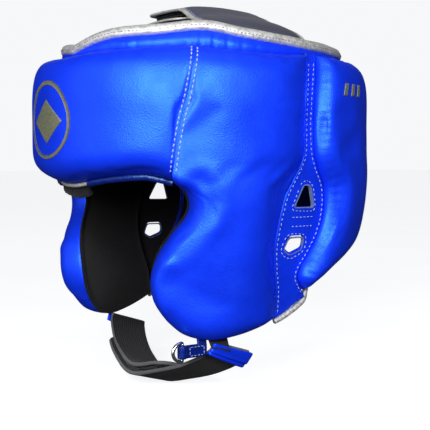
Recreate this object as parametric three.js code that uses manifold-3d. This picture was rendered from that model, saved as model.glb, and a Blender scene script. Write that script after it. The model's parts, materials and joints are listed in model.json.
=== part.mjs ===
// Boxing headgear in a child's size: padded leather panels sewn around an open head cavity, with open-ended
// crown wings, a rear closure strap and a chin strap. Millimetres, +Z up, the face looks along -Y and the
// wearer's left is +X. The origin is the centre of the head cavity, level with the brow pad's lower edge.
//
// Every panel lies on one head surface. A point on it has a station, the angle in degrees around the head
// (-90 front, 0 left ear, 90 back), a height in millimetres, and a stand, its distance off the head.

import * as THREE from 'three';
import { mergeVertices } from 'three/addons/utils/BufferGeometryUtils.js';
import Module from 'manifold-3d';

const wasm = await Module();
wasm.setup();

const { degToRad, lerp, smoothstep } = THREE.MathUtils;

// ---- driving dimensions ---------------------------------------------------------------------------------

const HEAD_HALF_WIDTH = 73;       // cavity, ear to ear, halved
const HEAD_FRONT = 93;            // cavity depth from the ears to the brow
const HEAD_BACK = 82;             // cavity depth from the ears to the back
const HEAD_ROUNDNESS = 2.1;       // superellipse exponent of the cavity's plan
const TAPER_START = 45;           // height where the cavity starts to close in towards the crown
const TAPER_SPAN = 55;
const TAPER_TOP = 0.20;           // share of its size that it loses over that span
const JAW_TAPER = 0.17;           // share of its width that it loses down to the jaw
const FACE_TAPER = 0.10;          // share of its depth that it loses down to the mouth
const NAPE_TAPER = 0.16;          // share of its depth that it loses down to the nape

const LINER_THICKNESS = 1.4;
const COVER_WALL = 1.2;
const FOAM_CLEARANCE = 0.35;      // between the foam core and the cover
const PAD_BASE = 2.0;             // stand of the cover's sewn edge
const PAD_THICKNESS = 18;
const SEAM_GAP = 0.2;             // station degrees that each panel keeps back from a shared seam
const EAR_STAND = 6.8;            // how far an ear panel stands off the head, leaving room for the ear
const CHANNEL_GAP = 0.7;          // station degrees between an ear panel and the pads beside it
const LEATHER = 2.0;              // flat leather panels and tabs

const REAR_GAP_STATION = 80;      // where the rear pads end, leaving the closure gap
const RIM_STAND = 5;              // how far the flange above the pads stands off the head
const RIM_TRIM_HEIGHT = 5.5;      // silver binding around the top opening
const CROWN_TOP = 100;            // height of the crown's lower wing at its highest
const FOLD_X = 44;                // where the upper crown wing folds back
const OVERLAP_X = 21;             // half the width over which the crown wings overlap
const PATCH = 1.0;                // one layer of hook or of loop tape
const PATCH_GAP = 0.35;           // between layers that touch
const STRAP_WIDTH = 25;
const STRAP_THICKNESS = 2.2;
const RING_WIRE = 1.0;            // wire radius of the small ring

// ---- materials ------------------------------------------------------------------------------------------

const finish = (color, roughness, metalness = 0) =>
  new THREE.MeshStandardMaterial({ color, roughness, metalness });
const BLUE = finish(0x1a40e6, 0.35, 0.3);
const SILVER = finish(0xb8b6ac, 0.5, 0.6);
const CROWN = finish(0x5c5a72, 0.4, 0.5);
const LINING = finish(0x15151a, 0.9);
const FOAM = finish(0xd8cfa8, 0.95);
const WEBBING = finish(0x1b1a24, 0.85);
const TAPE = finish(0x101014, 1.0);
const STEEL = finish(0xd0d2d6, 0.2, 1.0);

// ---- the head surface -----------------------------------------------------------------------------------

const signedPower = (v, p) => Math.sign(v) * Math.abs(v) ** p;

function headPoint(station, height) {
  const angle = degToRad(station);
  const closing = Math.max(0, Math.min(1, (height - TAPER_START) / TAPER_SPAN)) ** 2.2;
  const crownTaper = 1 - TAPER_TOP * closing;
  const jawTaper = 1 - JAW_TAPER * smoothstep(-height, 5, 100);
  const faceTaper = 1 - FACE_TAPER * smoothstep(-height, 0, 60);
  const napeTaper = 1 - NAPE_TAPER * smoothstep(-height, -10, 70);
  const depth = Math.sin(angle) < 0 ? HEAD_FRONT * faceTaper : HEAD_BACK * napeTaper;
  return new THREE.Vector3(
    HEAD_HALF_WIDTH * jawTaper * crownTaper * signedPower(Math.cos(angle), 2 / HEAD_ROUNDNESS),
    depth * crownTaper * signedPower(Math.sin(angle), 2 / HEAD_ROUNDNESS),
    height,
  );
}

function onHead(station, height, stand = 0) {
  const step = 0.05;
  const around = headPoint(station + step, height).sub(headPoint(station - step, height));
  const upward = headPoint(station, height + step).sub(headPoint(station, height - step));
  return headPoint(station, height).addScaledVector(around.cross(upward).normalize(), stand);
}

// ---- solids from grids of points ------------------------------------------------------------------------

// A grid is rows of points: grid[row][column], columns running along +station and rows along +height.
const makeGrid = (rows, columns, at) =>
  Array.from({ length: rows }, (_, row) => Array.from({ length: columns }, (_, column) => at(column, row)));

function gridBorder(grid) {
  const last = grid.length - 1;
  const end = grid[0].length - 1;
  const border = [];
  for (let c = 0; c < end; c += 1) border.push([0, c]);
  for (let r = 0; r < last; r += 1) border.push([r, end]);
  for (let c = end; c > 0; c -= 1) border.push([last, c]);
  for (let r = last; r > 0; r -= 1) border.push([r, 0]);
  return border;
}

// Joins an outer and an inner grid of the same size into one closed solid.
function between(outer, inner) {
  const columns = outer[0].length;
  const positions = [...outer.flat(), ...inner.flat()].flatMap((p) => p.toArray());
  const offset = outer.length * columns;
  const index = [];
  const quad = (a, b, c, d) => index.push(a, b, c, a, c, d);
  for (let r = 0; r + 1 < outer.length; r += 1) {
    for (let c = 0; c + 1 < columns; c += 1) {
      const a = r * columns + c;
      quad(a, a + 1, a + columns + 1, a + columns);
      quad(offset + a, offset + a + columns, offset + a + columns + 1, offset + a + 1);
    }
  }
  const border = gridBorder(outer).map(([r, c]) => r * columns + c);
  border.forEach((a, i) => {
    const b = border[(i + 1) % border.length];
    quad(offset + a, offset + b, b, a);
  });
  return indexed(positions, index);
}

function indexed(positions, index) {
  const geometry = new THREE.BufferGeometry();
  geometry.setAttribute('position', new THREE.Float32BufferAttribute(positions, 3));
  geometry.setIndex(index);
  return geometry;
}

// The same grid moved along its own outward normals. Border points keep their distance off the head, so that
// a pad's walls all end level: away[r][c] is the direction away from the head.
function offsetGrid(grid, distance, away) {
  const columns = grid[0].length;
  const index = [];
  for (let r = 0; r + 1 < grid.length; r += 1) {
    for (let c = 0; c + 1 < columns; c += 1) {
      const a = r * columns + c;
      index.push(a, a + 1, a + columns + 1, a, a + columns + 1, a + columns);
    }
  }
  const geometry = indexed(grid.flat().flatMap((p) => p.toArray()), index);
  geometry.computeVertexNormals();
  const normals = geometry.attributes.normal;
  const normal = new THREE.Vector3();
  return makeGrid(grid.length, columns, (c, r) => {
    normal.fromBufferAttribute(normals, r * columns + c);
    if (r === 0 || c === 0 || r === grid.length - 1 || c === columns - 1) {
      normal.addScaledVector(away[r][c], -normal.dot(away[r][c])).normalize();
    }
    return grid[r][c].clone().addScaledVector(normal, distance);
  });
}

// The wearer's right-hand twin of a left-hand solid.
function mirrored(geometry) {
  const twin = geometry.clone();
  twin.scale(-1, 1, 1);
  const index = twin.index.array;
  for (let i = 0; i < index.length; i += 3) [index[i], index[i + 1]] = [index[i + 1], index[i]];
  return twin;
}

function toSolid(geometry) {
  const bare = geometry.clone();
  bare.deleteAttribute('normal');
  bare.deleteAttribute('uv');
  const merged = mergeVertices(bare, 1e-4);
  return new wasm.Manifold(new wasm.Mesh({
    numProp: 3,
    vertProperties: new Float32Array(merged.attributes.position.array),
    triVerts: new Uint32Array(merged.index.array),
  }));
}

function fromSolid(solid) {
  const mesh = solid.getMesh();
  return indexed(Array.from(mesh.vertProperties), Array.from(mesh.triVerts));
}

// ---- panel outlines -------------------------------------------------------------------------------------

// A smooth edge through a few (station, height) points.
const edge = (...points) => new THREE.SplineCurve(points.map(([s, h]) => new THREE.Vector2(s, h)));

// The point at (s, t) of the patch that four edges enclose: bottom and top run along +station, left and
// right run along +height.
function patchPoint({ bottom, top, left, right }, s, t) {
  const [b, u, l, r] = [bottom.getPointAt(s), top.getPointAt(s), left.getPointAt(t), right.getPointAt(t)];
  const [b0, b1, u0, u1] = [bottom.getPointAt(0), bottom.getPointAt(1), top.getPointAt(0), top.getPointAt(1)];
  const mix = (axis) => lerp(b[axis], u[axis], t) + lerp(l[axis], r[axis], s)
    - lerp(lerp(b0[axis], b1[axis], s), lerp(u0[axis], u1[axis], s), t);
  return [mix('x'), mix('y')];
}

const shifted = (curve, station, height = 0) =>
  new THREE.SplineCurve(curve.points.map((p) => new THREE.Vector2(p.x + station, p.y + height)));

// How a pad rises from its sewn edge: pairs of distance from the edge in mm and share of its full thickness.
const ROUND_EDGE = [[0, 0], [1, 0.34], [5, 0.76], [12, 0.95], [20, 1]];
const SEAM_EDGE = [[0, 0], [0.4, 0.78], [4, 0.9], [11, 0.98], [20, 1]];

function riseAt(distance, profile) {
  const after = profile.findIndex(([d]) => d >= distance);
  if (after < 0) return 1;
  if (after === 0) return 0;
  const [[d0, r0], [d1, r1]] = [profile[after - 1], profile[after]];
  return lerp(r0, r1, (distance - d0) / (d1 - d0));
}

function distanceTo(line, point) {
  const segment = new THREE.Line3();
  const nearest = new THREE.Vector3();
  let least = Infinity;
  for (let i = 0; i + 1 < line.length; i += 1) {
    segment.set(line[i], line[i + 1]).closestPointToPoint(point, true, nearest);
    least = Math.min(least, nearest.distanceTo(point));
  }
  return least;
}

// Grid lines across a pad of the given width: close together at both edges, where it rounds over, and
// evenly spread in between.
function lines(width, startInsets, endInsets, middle) {
  const start = startInsets.map((d) => d / width);
  const end = endInsets.map((d) => 1 - d / width).reverse();
  const inner = Array.from({ length: middle }, (_, i) => lerp(start.at(-1), end[0], (i + 1) / (middle + 1)));
  return [...start, ...inner, ...end];
}
const ROUND_INSETS = [0, 1, 5, 12];
const SEAM_INSETS = [0, 0.4, 4, 11];

// One pad as three solids: leather cover, foam core and inner liner. Its edges named in seams stay thick.
function makePad({ outline, across, up, seams }) {
  const place = (c, r) => patchPoint(outline, across[c], up[r]);
  const padGrid = (at) => makeGrid(up.length, across.length, at);
  const ground = padGrid((c, r) => onHead(...place(c, r), PAD_BASE));
  const away = padGrid((c, r) => ground[r][c].clone().sub(headPoint(...place(c, r))).normalize());
  const edges = Object.entries(outline).map(([name, curve]) => ({
    line: curve.getPoints(90).map((p) => headPoint(p.x, p.y)),
    profile: seams.includes(name) ? SEAM_EDGE : ROUND_EDGE,
  }));
  const onBorder = (c, r) => r === 0 || c === 0 || r === up.length - 1 || c === across.length - 1;
  const skin = padGrid((c, r) => {
    const point = headPoint(...place(c, r));
    const rise = Math.min(...edges.map(({ line, profile }) => riseAt(distanceTo(line, point), profile)));
    return ground[r][c].clone().addScaledVector(away[r][c], onBorder(c, r) ? 0 : PAD_THICKNESS * rise);
  });
  const core = offsetGrid(skin, -COVER_WALL - FOAM_CLEARANCE, away);
  const coreBase = padGrid((c, r) => {
    const height = core[r][c].clone().sub(ground[r][c]).dot(away[r][c]);
    return core[r][c].clone().addScaledVector(away[r][c], -height);
  });
  const coarse = (list) =>
    list.filter((_, i) => i === 0 || i === list.length - 1 || (i > 2 && i < list.length - 3));
  return {
    cover: between(skin, offsetGrid(skin, -COVER_WALL, away)),
    foam: closedLens(core, coreBase),
    liner: sheet(outline, coarse(across), coarse(up), 0, LINER_THICKNESS),
  };
}

// Two grids that share their border points, joined into one closed solid.
function closedLens(outer, inner) {
  const merged = mergeVertices(between(outer, inner), 1e-4);
  const index = merged.index.array;
  const kept = [];
  for (let i = 0; i < index.length; i += 3) {
    const [a, b, c] = index.slice(i, i + 3);
    if (a !== b && b !== c && a !== c) kept.push(a, b, c);
  }
  merged.setIndex(kept);
  return merged;
}

// A thin sheet on the head surface, from one stand to another.
function sheet(outline, across, up, inside, outside) {
  const layer = (stand) => makeGrid(up.length, across.length, (c, r) =>
    onHead(...patchPoint(outline, across[c], up[r]), stand));
  return between(layer(outside), layer(inside));
}

const even = (count) => Array.from({ length: count + 1 }, (_, i) => i / count);

// ---- outlines of the panels, wearer's left ---------------------------------------------------------------

const CHANNEL_TOP = 73.2;
const TOP_LINE = [[-90, 72.3], [-61, 73.8], [-34.5, 74.8], [-19, 73.2], [-4, 72.8], [8.2, 73.4], [14.6, 73.5],
  [40, 73], [REAR_GAP_STATION, 72.5]];
const topBetween = (from, to) => edge(...TOP_LINE.filter(([station]) => station >= from && station <= to));

const templeSeam = [[-41.4, 3.2], [-40.3, 18], [-38.6, 35], [-36.4, 50], [-34.9, 64], [-34.5, 74.8]];
const browLine = [[-90, 1.2], [-68, 4.8], [-52, 6.4], [-41.4, 3.2]];
const mirrorPoints = (points) => points.map(([s, h]) => [-180 - s, h]).reverse();

const frontOutline = {
  bottom: edge(...mirrorPoints(browLine), ...browLine.slice(1)),
  top: edge(...mirrorPoints(TOP_LINE.slice(0, 3)), ...TOP_LINE.slice(1, 3)),
  left: shifted(edge(...mirrorPoints(templeSeam).reverse()), SEAM_GAP),
  right: shifted(edge(...templeSeam), -SEAM_GAP),
};

const cheekFront = [[-46, -74], [-51.3, -63], [-52.7, -51], [-50, -39], [-43.8, -27], [-37.9, -17.5],
  [-35.9, -10], [-37.2, -3], ...templeSeam];
const sideBack = [[-2.6, -76], [-3.2, -60], [-5.2, -45], [-5.8, -30], [-3.4, -9], [-0.2, 2], [3.2, 11],
  [5, 20], [5.4, 49], [8.2, 73.4]];
const sideOutline = {
  bottom: edge(cheekFront[0], [-38, -82.8], [-28, -86.6], [-18, -84.8], [-9, -80.6], sideBack[0]),
  top: topBetween(-35, 9),
  left: shifted(edge(...cheekFront), SEAM_GAP),
  right: edge(...sideBack),
};

const rearFront = [[12, -60.5], [7.4, -53], [8, -45.5], [11, -39], [15.4, -28], [17.8, -16], [17.2, -2],
  [13, 10], [10.8, 22], [10.8, 49], [14.6, 73.5]];
const rearBottom = [[19, -55], [28, -48.5], [47, -39], [60, -31.5], [REAR_GAP_STATION, -27]];
const rearOutline = {
  bottom: edge(rearFront[0], ...rearBottom),
  top: topBetween(14, REAR_GAP_STATION),
  left: edge(...rearFront),
  right: edge([REAR_GAP_STATION, -27], [REAR_GAP_STATION, 22], [REAR_GAP_STATION, 72.5]),
};

// The ear panel fills the channel between the side pad and the rear pad, down to the lower edge.
const earLeft = [[-2.6, -75.4], ...sideBack.slice(1, -1), [8, CHANNEL_TOP]]
  .map(([s, h]) => [s + CHANNEL_GAP, h]);
const earRight = [[13.5, -64], ...rearFront.slice(1, -1), [14.5, CHANNEL_TOP]]
  .map(([s, h]) => [s - CHANNEL_GAP, h]);
const earOutline = {
  bottom: edge(earLeft[0], earRight[0]),
  top: edge(earLeft.at(-1), earRight.at(-1)),
  left: edge(...earLeft),
  right: edge(...earRight),
};

// ---- pads -----------------------------------------------------------------------------------------------

const frontPad = makePad({
  outline: frontOutline,
  across: lines(175, SEAM_INSETS, SEAM_INSETS, 6),
  up: lines(72, ROUND_INSETS, ROUND_INSETS, 2),
  seams: ['left', 'right'],
});
const sidePad = makePad({
  outline: sideOutline,
  across: lines(68, ROUND_INSETS, ROUND_INSETS, 2),
  up: lines(160, ROUND_INSETS, ROUND_INSETS, 8),
  seams: [],
});
const rearPad = makePad({
  outline: rearOutline,
  across: lines(97, ROUND_INSETS, ROUND_INSETS, 5),
  up: lines(124, ROUND_INSETS, ROUND_INSETS, 5),
  seams: [],
});

// ---- ear panels with their two holes ---------------------------------------------------------------------

// A straight-sided hole through the panel, drawn as (y, z) corners and cut along x.
function earCutter(corners) {
  const shape = new THREE.Shape(corners.map(([y, z]) => new THREE.Vector2(y, z)));
  const geometry = new THREE.ExtrudeGeometry(shape, { depth: 60, bevelEnabled: false });
  geometry.applyMatrix4(new THREE.Matrix4().set(0, 0, 1, 50, 1, 0, 0, 0, 0, 1, 0, 0, 0, 0, 0, 1));
  return toSolid(geometry);
}

const upperEarHole = [[9.7, 0.3], [15.2, -0.3], [18.2, -12.5], [2.2, -12.3]];
const lowerEarHole = [[0.2, -28.8], [11.5, -28.8], [11, -35.5], [1.7, -38.8], [-3.2, -35.5]];
const earBlank = toSolid(sheet(earOutline, even(4), even(20), EAR_STAND, EAR_STAND + LEATHER));
const earPanel = fromSolid(earBlank.subtract(earCutter(upperEarHole)).subtract(earCutter(lowerEarHole)));

// ---- rim, bindings and gusset ----------------------------------------------------------------------------

// A smooth symmetrical line around the whole head, through heights given for the wearer's left.
function aroundHead(points) {
  const curve = new THREE.CatmullRomCurve3(points.map(([s, h]) => new THREE.Vector3(s, h, 0)));
  const samples = curve.getPoints(200);
  return (station) => {
    const left = station < -90 ? -180 - station : station > 90 ? 180 - station : station;
    const after = Math.max(1, samples.findIndex((p) => p.x >= left - 1e-6));
    const [a, b] = [samples[after - 1], samples[after]];
    return lerp(a.y, b.y, (left - a.x) / (b.x - a.x));
  };
}

const padTop = aroundHead([...TOP_LINE, [90, 72.4]]);
const rimTop = aroundHead([[-90, 79.6], [-70, 85], [-50, 86.2], [-31, 89], [-16, 85.6], [8, 82.6], [30, 81.3],
  [60, 80.8], [90, 80.5]]);

// A closed band around the head between two height functions and two stands.
function ringBand(low, high, inside, outside, segments) {
  const positions = [];
  const index = [];
  for (let i = 0; i < segments; i += 1) {
    const station = -90 + (360 * i) / segments;
    const [bottom, top] = [low(station), high(station)];
    for (const [height, stand] of [[bottom, outside], [top, outside], [top, inside], [bottom, inside]]) {
      positions.push(...onHead(station, height, stand).toArray());
    }
    for (let k = 0; k < 4; k += 1) {
      const [a, b] = [4 * i + k, 4 * i + (k + 1) % 4];
      const [c, d] = [(a + 4) % (4 * segments), (b + 4) % (4 * segments)];
      index.push(a, c, d, a, d, b);
    }
  }
  return indexed(positions, index);
}

const topFlange = ringBand((s) => padTop(s) + 0.9, (s) => rimTop(s) - RIM_TRIM_HEIGHT - 0.3, RIM_STAND,
  RIM_STAND + LEATHER, 56);
const topTrim = ringBand((s) => rimTop(s) - RIM_TRIM_HEIGHT, rimTop, RIM_STAND - 0.8, RIM_STAND + 2.8, 56);

// A narrow binding under the lower edge of a panel.
function binding(line, columns, drop, width, outside) {
  const upper = shifted(line, 0, -drop);
  const lower = shifted(line, 0, -drop - width);
  const ends = (t) => edge(lower.getPointAt(t).toArray(), upper.getPointAt(t).toArray());
  const outline = { bottom: lower, top: upper, left: ends(0), right: ends(1) };
  return sheet(outline, even(columns), even(1), 0, outside);
}

const browBinding = binding(frontOutline.bottom, 22, 1.3, 2, 1.8);
const lowerBinding = binding(edge([-1.8, -76], [13, -65], ...rearBottom), 18, 1.2, 2.2, 2.4);

const GUSSET_STATION = REAR_GAP_STATION + 0.8;
const gussetOutline = {
  bottom: edge([GUSSET_STATION, -26], [90, -24], [180 - GUSSET_STATION, -26]),
  top: edge([GUSSET_STATION, 72], [90, 72], [180 - GUSSET_STATION, 72]),
  left: edge([GUSSET_STATION, -26], [GUSSET_STATION, 72]),
  right: edge([180 - GUSSET_STATION, -26], [180 - GUSSET_STATION, 72]),
};
const rearGusset = sheet(gussetOutline, even(6), even(5), 0.2, LEATHER + 0.2);

// ---- rear closure strap ----------------------------------------------------------------------------------

const PAD_FACE = PAD_BASE + PAD_THICKNESS;
const REAR_STRAP_MIDDLE = 30;     // height of its centre line
const REAR_STRAP_HALF_WIDTH = 22;
const REAR_TAPE_HALF_WIDTH = 20;
const REAR_ROOT_STATION = 66;     // where the strap's sewn end starts
const REAR_HINGE_STATION = 76;    // where it folds back
const REAR_END_STATION = 121;

// A level band across the back of the head, its inner face at standAt(station).
function backBand(from, to, halfWidth, standAt, thickness, columns) {
  const layer = (extra) => makeGrid(4, columns + 1, (c, r) => {
    const station = lerp(from, to, c / columns);
    return onHead(station, REAR_STRAP_MIDDLE + lerp(-halfWidth, halfWidth, r / 3), standAt(station) + extra);
  });
  return between(layer(thickness), layer(0));
}

const rearLoopStand = PAD_FACE + PATCH_GAP;
const rearHookStand = rearLoopStand + PATCH + PATCH_GAP;
const rearStrapStand = (station) =>
  rearLoopStand + 2 * (PATCH + PATCH_GAP) * smoothstep(station, REAR_HINGE_STATION, 101);
const rearStrapRoot = backBand(REAR_ROOT_STATION, REAR_HINGE_STATION - 0.5, REAR_STRAP_HALF_WIDTH,
  () => rearLoopStand, LEATHER, 3);
const rearStrap = backBand(REAR_HINGE_STATION + 0.3, REAR_END_STATION, REAR_STRAP_HALF_WIDTH,
  rearStrapStand, LEATHER, 15);
const rearHook = backBand(105, REAR_END_STATION - 1, REAR_TAPE_HALF_WIDTH, () => rearHookStand, PATCH, 5);
const rearLoop = backBand(104, REAR_END_STATION + 6, REAR_TAPE_HALF_WIDTH, () => rearLoopStand, PATCH, 7);

// ---- crown wings -----------------------------------------------------------------------------------------

// The wings spring from inside the rim and arch over the head. How far forward and back a wing reaches
// depends on how far it has crossed: 0 at its rim, 1 at its far end.
const CROWN_ROUNDNESS = 2.25;
const WING_FOOT_STAND = RIM_STAND - 3.6;
const WING_FOOT_DEPTH = 4;        // how far below the rim's edge a wing is sewn on
const WING_FOOT_X = 58;
const WING_RIM_FRONT = -46;
const WING_RIM_BACK = 24;
const WING_TIP_FRONT = -36;
const WING_TIP_BACK = 16;
const CROWN_MIDDLE = -8;          // the depth at which the crown is highest
const CROWN_FALL = 10;            // how far it has dropped at CROWN_REACH from there
const CROWN_REACH = 60;
const wingFront = (crossed) =>
  lerp(WING_RIM_FRONT, WING_TIP_FRONT, Math.sin(Math.min(1, crossed * 1.5) * Math.PI / 2));
const wingBack = (crossed) => lerp(WING_RIM_BACK, WING_TIP_BACK, smoothstep(crossed, 0, 1));

// The point just inside the rim's trim at a given depth, where a wing is sewn on.
function wingFoot(y) {
  let [low, high] = [-80, 80];
  const foot = (station) => onHead(station, rimTop(station), WING_FOOT_STAND);
  for (let i = 0; i < 30; i += 1) {
    const middle = (low + high) / 2;
    if (foot(middle).y < y) low = middle;
    else high = middle;
  }
  return foot(low).setZ(rimTop(low) - WING_FOOT_DEPTH);
}

// A slice across the crown is half a superellipse: angle 0 at the left rim, 90 on top, 180 at the right rim.
function crownPoint(angle, y) {
  const foot = wingFoot(y);
  const apex = CROWN_TOP - CROWN_FALL * ((y - CROWN_MIDDLE) / CROWN_REACH) ** 2;
  const turn = degToRad(angle);
  return new THREE.Vector3(
    foot.x * signedPower(Math.cos(turn), 2 / CROWN_ROUNDNESS),
    y,
    foot.z + (apex - foot.z) * Math.sin(turn) ** (2 / CROWN_ROUNDNESS),
  );
}

function onCrown(angle, y, stand) {
  const step = 1;
  const near = Math.max(angle, step);
  const across = crownPoint(near + step, y).sub(crownPoint(near - step, y));
  const along = crownPoint(near, y + step).sub(crownPoint(near, y - step));
  return crownPoint(angle, y).addScaledVector(along.cross(across).normalize(), stand);
}

// The angle at which a slice is x away from the middle.
function crownAngle(x, y) {
  const share = Math.min(1, Math.abs(x) / wingFoot(y).x) ** (CROWN_ROUNDNESS / 2);
  const angle = THREE.MathUtils.radToDeg(Math.acos(share));
  return x < 0 ? 180 - angle : angle;
}

// Part of the left wing between two distances across. Its width is even over the overlap and flares to the
// rim, and standAt gives how far its inner face stands off the crown.
function wingPart(fromX, toX, standAt, thickness, columns, rows, inset = 0) {
  const layer = (extra) => makeGrid(rows + 1, columns + 1, (c, r) => {
    const roughX = lerp(fromX, toX, c / columns);
    const crossed = Math.max(0, (WING_FOOT_X - roughX) / (WING_FOOT_X + OVERLAP_X));
    const y = lerp(wingBack(crossed) - inset, wingFront(crossed) + inset, r / rows);
    const angle = fromX > FOLD_X ? lerp(0, crownAngle(toX, y), c / columns) : crownAngle(roughX, y);
    return onCrown(angle, y, standAt(roughX) + extra);
  });
  return between(layer(thickness), layer(0));
}

const WING_THICKNESS = 2;
const crownLoopStand = WING_THICKNESS + PATCH_GAP;
const crownHookStand = crownLoopStand + PATCH + PATCH_GAP;
const upperWingStand = crownHookStand + PATCH + PATCH_GAP;
const upperStand = (x) => upperWingStand * smoothstep(-x, -FOLD_X + 2, -OVERLAP_X);
const leftCrownRoot = wingPart(WING_FOOT_X, FOLD_X + 0.5, () => 0, WING_THICKNESS, 4, 6);
const leftCrownWing = wingPart(FOLD_X - 0.5, -OVERLAP_X, upperStand, WING_THICKNESS, 12, 6);
const lowerHalf = wingPart(WING_FOOT_X, -OVERLAP_X, () => 0, WING_THICKNESS, 14, 6);
const crownHook = wingPart(18, -OVERLAP_X + 2, () => crownHookStand, PATCH, 5, 4, 4);
const crownLoop = wingPart(20, -OVERLAP_X + 1, () => crownLoopStand, PATCH, 5, 4, 3);

// ---- chin strap ------------------------------------------------------------------------------------------

// The strap's centre line under the chin, from the left root to the right root, symmetrical about x = 0.
const strapLine = new THREE.CatmullRomCurve3([
  [62, -26.5, -89.3], [58.5, -29, -96.2], [45, -35, -104.5], [24, -42, -111.5], [0, -46, -116.5],
  [-24, -42, -111.5], [-45, -35, -104.5], [-58.5, -29, -96.2], [-62, -26.5, -89.3],
].map((p) => new THREE.Vector3(...p)));
const STRAP_TILT = degToRad(16);   // the outer face looks a little forward

// A flat strap along part of the line. The stand is counted away from the chin, and the end can be rounded.
function strapPart(from, to, inside, outside, steps, width, roundEnd = false) {
  const across = new THREE.Vector3(0, Math.cos(STRAP_TILT), -Math.sin(STRAP_TILT));
  const station = (share) => {
    const centre = strapLine.getPointAt(share);
    const along = strapLine.getTangentAt(share);
    const side = across.clone().addScaledVector(along, -across.dot(along)).normalize();
    return { centre, side, out: side.clone().cross(along).normalize().negate() };
  };
  const rows = 3;
  const layer = (stand) => makeGrid(rows + 1, steps + 1, (c, r) => {
    const { centre, side, out } = station(lerp(from, to, c / steps));
    const narrowing = roundEnd && c > steps - 3 ? [0.92, 0.75, 0.4][c - steps + 2] : 1;
    const half = (width / 2) * narrowing * Math.sign(to - from);
    return centre.addScaledVector(side, lerp(-half, half, r / rows)).addScaledVector(out, stand);
  });
  return between(layer(outside), layer(inside));
}

const STRAP_START = 0.02;         // share of the line where the left root is sewn on
const SLEEVE_END = 0.07;          // share of the line that the blue sleeve reaches
const SLEEVE_THICKNESS = 1.6;
const SLEEVE_WIDTH = STRAP_WIDTH + 3;
const TAPE_WIDTH = STRAP_WIDTH - 5;
const leftSleeveIn = STRAP_THICKNESS + PATCH_GAP;
const chinHookIn = -PATCH_GAP - PATCH;
const chinLoopIn = chinHookIn - PATCH_GAP - PATCH;
const innerStrapIn = chinLoopIn - PATCH_GAP - STRAP_THICKNESS;
const rightSleeveIn = innerStrapIn + STRAP_THICKNESS + PATCH_GAP;
const chinRoot = strapPart(STRAP_START, SLEEVE_END - 0.004, 0, STRAP_THICKNESS, 3, STRAP_WIDTH);
const chinStrap = strapPart(SLEEVE_END + 0.004, 0.86, 0, STRAP_THICKNESS, 20, STRAP_WIDTH, true);
const chinHook = strapPart(0.44, 0.82, chinHookIn, chinHookIn + PATCH, 10, TAPE_WIDTH);
const chinLoop = strapPart(0.36, 0.87, chinLoopIn, chinLoopIn + PATCH, 14, TAPE_WIDTH);
const innerStrap = strapPart(0.975, 0.32, innerStrapIn, innerStrapIn + STRAP_THICKNESS, 20, STRAP_WIDTH, true);
const leftSleeve = strapPart(STRAP_START, SLEEVE_END, leftSleeveIn, leftSleeveIn + SLEEVE_THICKNESS, 3,
  SLEEVE_WIDTH);
const rightSleeve = strapPart(1 - SLEEVE_END, 1 - STRAP_START, rightSleeveIn, rightSleeveIn + SLEEVE_THICKNESS,
  3, SLEEVE_WIDTH);

// ---- ring tab under the left cheek, and its ring ----------------------------------------------------------

const RING_PIVOT = new THREE.Vector3(60, -60, -92);
const EYE_INNER = RING_WIRE + 0.4;
const EYE_OUTER = EYE_INNER + 1.5;
const TAB_HEIGHT = 7;
const TAB_LENGTH = 16;
const TAB_HALF_THICKNESS = 0.9;
const RING_HALF_HEIGHT = 5.2;
const RING_BOW = 1.6;             // how far the bow bulges, in half heights

function ringTab() {
  const shape = new THREE.Shape();
  shape.moveTo(TAB_HALF_THICKNESS, EYE_OUTER * 0.8);
  shape.lineTo(TAB_HALF_THICKNESS, TAB_LENGTH);
  shape.lineTo(-TAB_HALF_THICKNESS, TAB_LENGTH);
  shape.lineTo(-TAB_HALF_THICKNESS, EYE_OUTER * 0.8);
  shape.absarc(0, 0, EYE_OUTER, degToRad(112), degToRad(428), false);
  shape.holes.push(new THREE.Path().absarc(0, 0, EYE_INNER, 0, 2 * Math.PI, true));
  return new THREE.ExtrudeGeometry(shape, { depth: TAB_HEIGHT, bevelEnabled: false, curveSegments: 7 })
    .translate(RING_PIVOT.x, RING_PIVOT.y, RING_PIVOT.z - TAB_HEIGHT / 2);
}

// A closed ring of round wire in the plane x = 0, its straight side on the pivot line.
function wireRing() {
  const half = RING_HALF_HEIGHT;
  const path = [[0, -half], [0, 0], [0, half]];
  for (let a = 90; a <= 270; a += 30) {
    path.push([RING_BOW * half * (Math.cos(degToRad(a)) - 0.45), half * Math.sin(degToRad(a))]);
  }
  const sides = 8;
  const wrap = path.length * sides;
  const positions = [];
  const index = [];
  path.forEach(([y, z], i) => {
    const [py, pz] = path[(i + path.length - 1) % path.length];
    const [ny, nz] = path[(i + 1) % path.length];
    const before = new THREE.Vector2(y - py, z - pz).normalize();
    const along = new THREE.Vector2(ny - y, nz - z).normalize().add(before).normalize();
    for (let k = 0; k < sides; k += 1) {
      const angle = (2 * Math.PI * k) / sides;
      const outward = RING_WIRE * Math.cos(angle);
      positions.push(RING_WIRE * Math.sin(angle), y + along.y * outward, z - along.x * outward);
      const [a, b] = [i * sides + k, i * sides + (k + 1) % sides];
      index.push(b, a, (a + sides) % wrap, b, (a + sides) % wrap, (b + sides) % wrap);
    }
  });
  return indexed(positions, index);
}

// ---- emblem on the brow: a plain oval ring around a lozenge ------------------------------------------------

const EMBLEM_HEIGHT = 36;
const EMBLEM_HALF_WIDTH = 13.5;       // station degrees
const EMBLEM_HALF_HEIGHT = 21;
const EMBLEM_STAND = PAD_FACE + 0.5;
const EMBLEM_FACE = EMBLEM_STAND + 0.8;
const LOZENGE_HALF_WIDTH = 9;         // station degrees
const LOZENGE_HALF_HEIGHT = 12;

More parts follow.
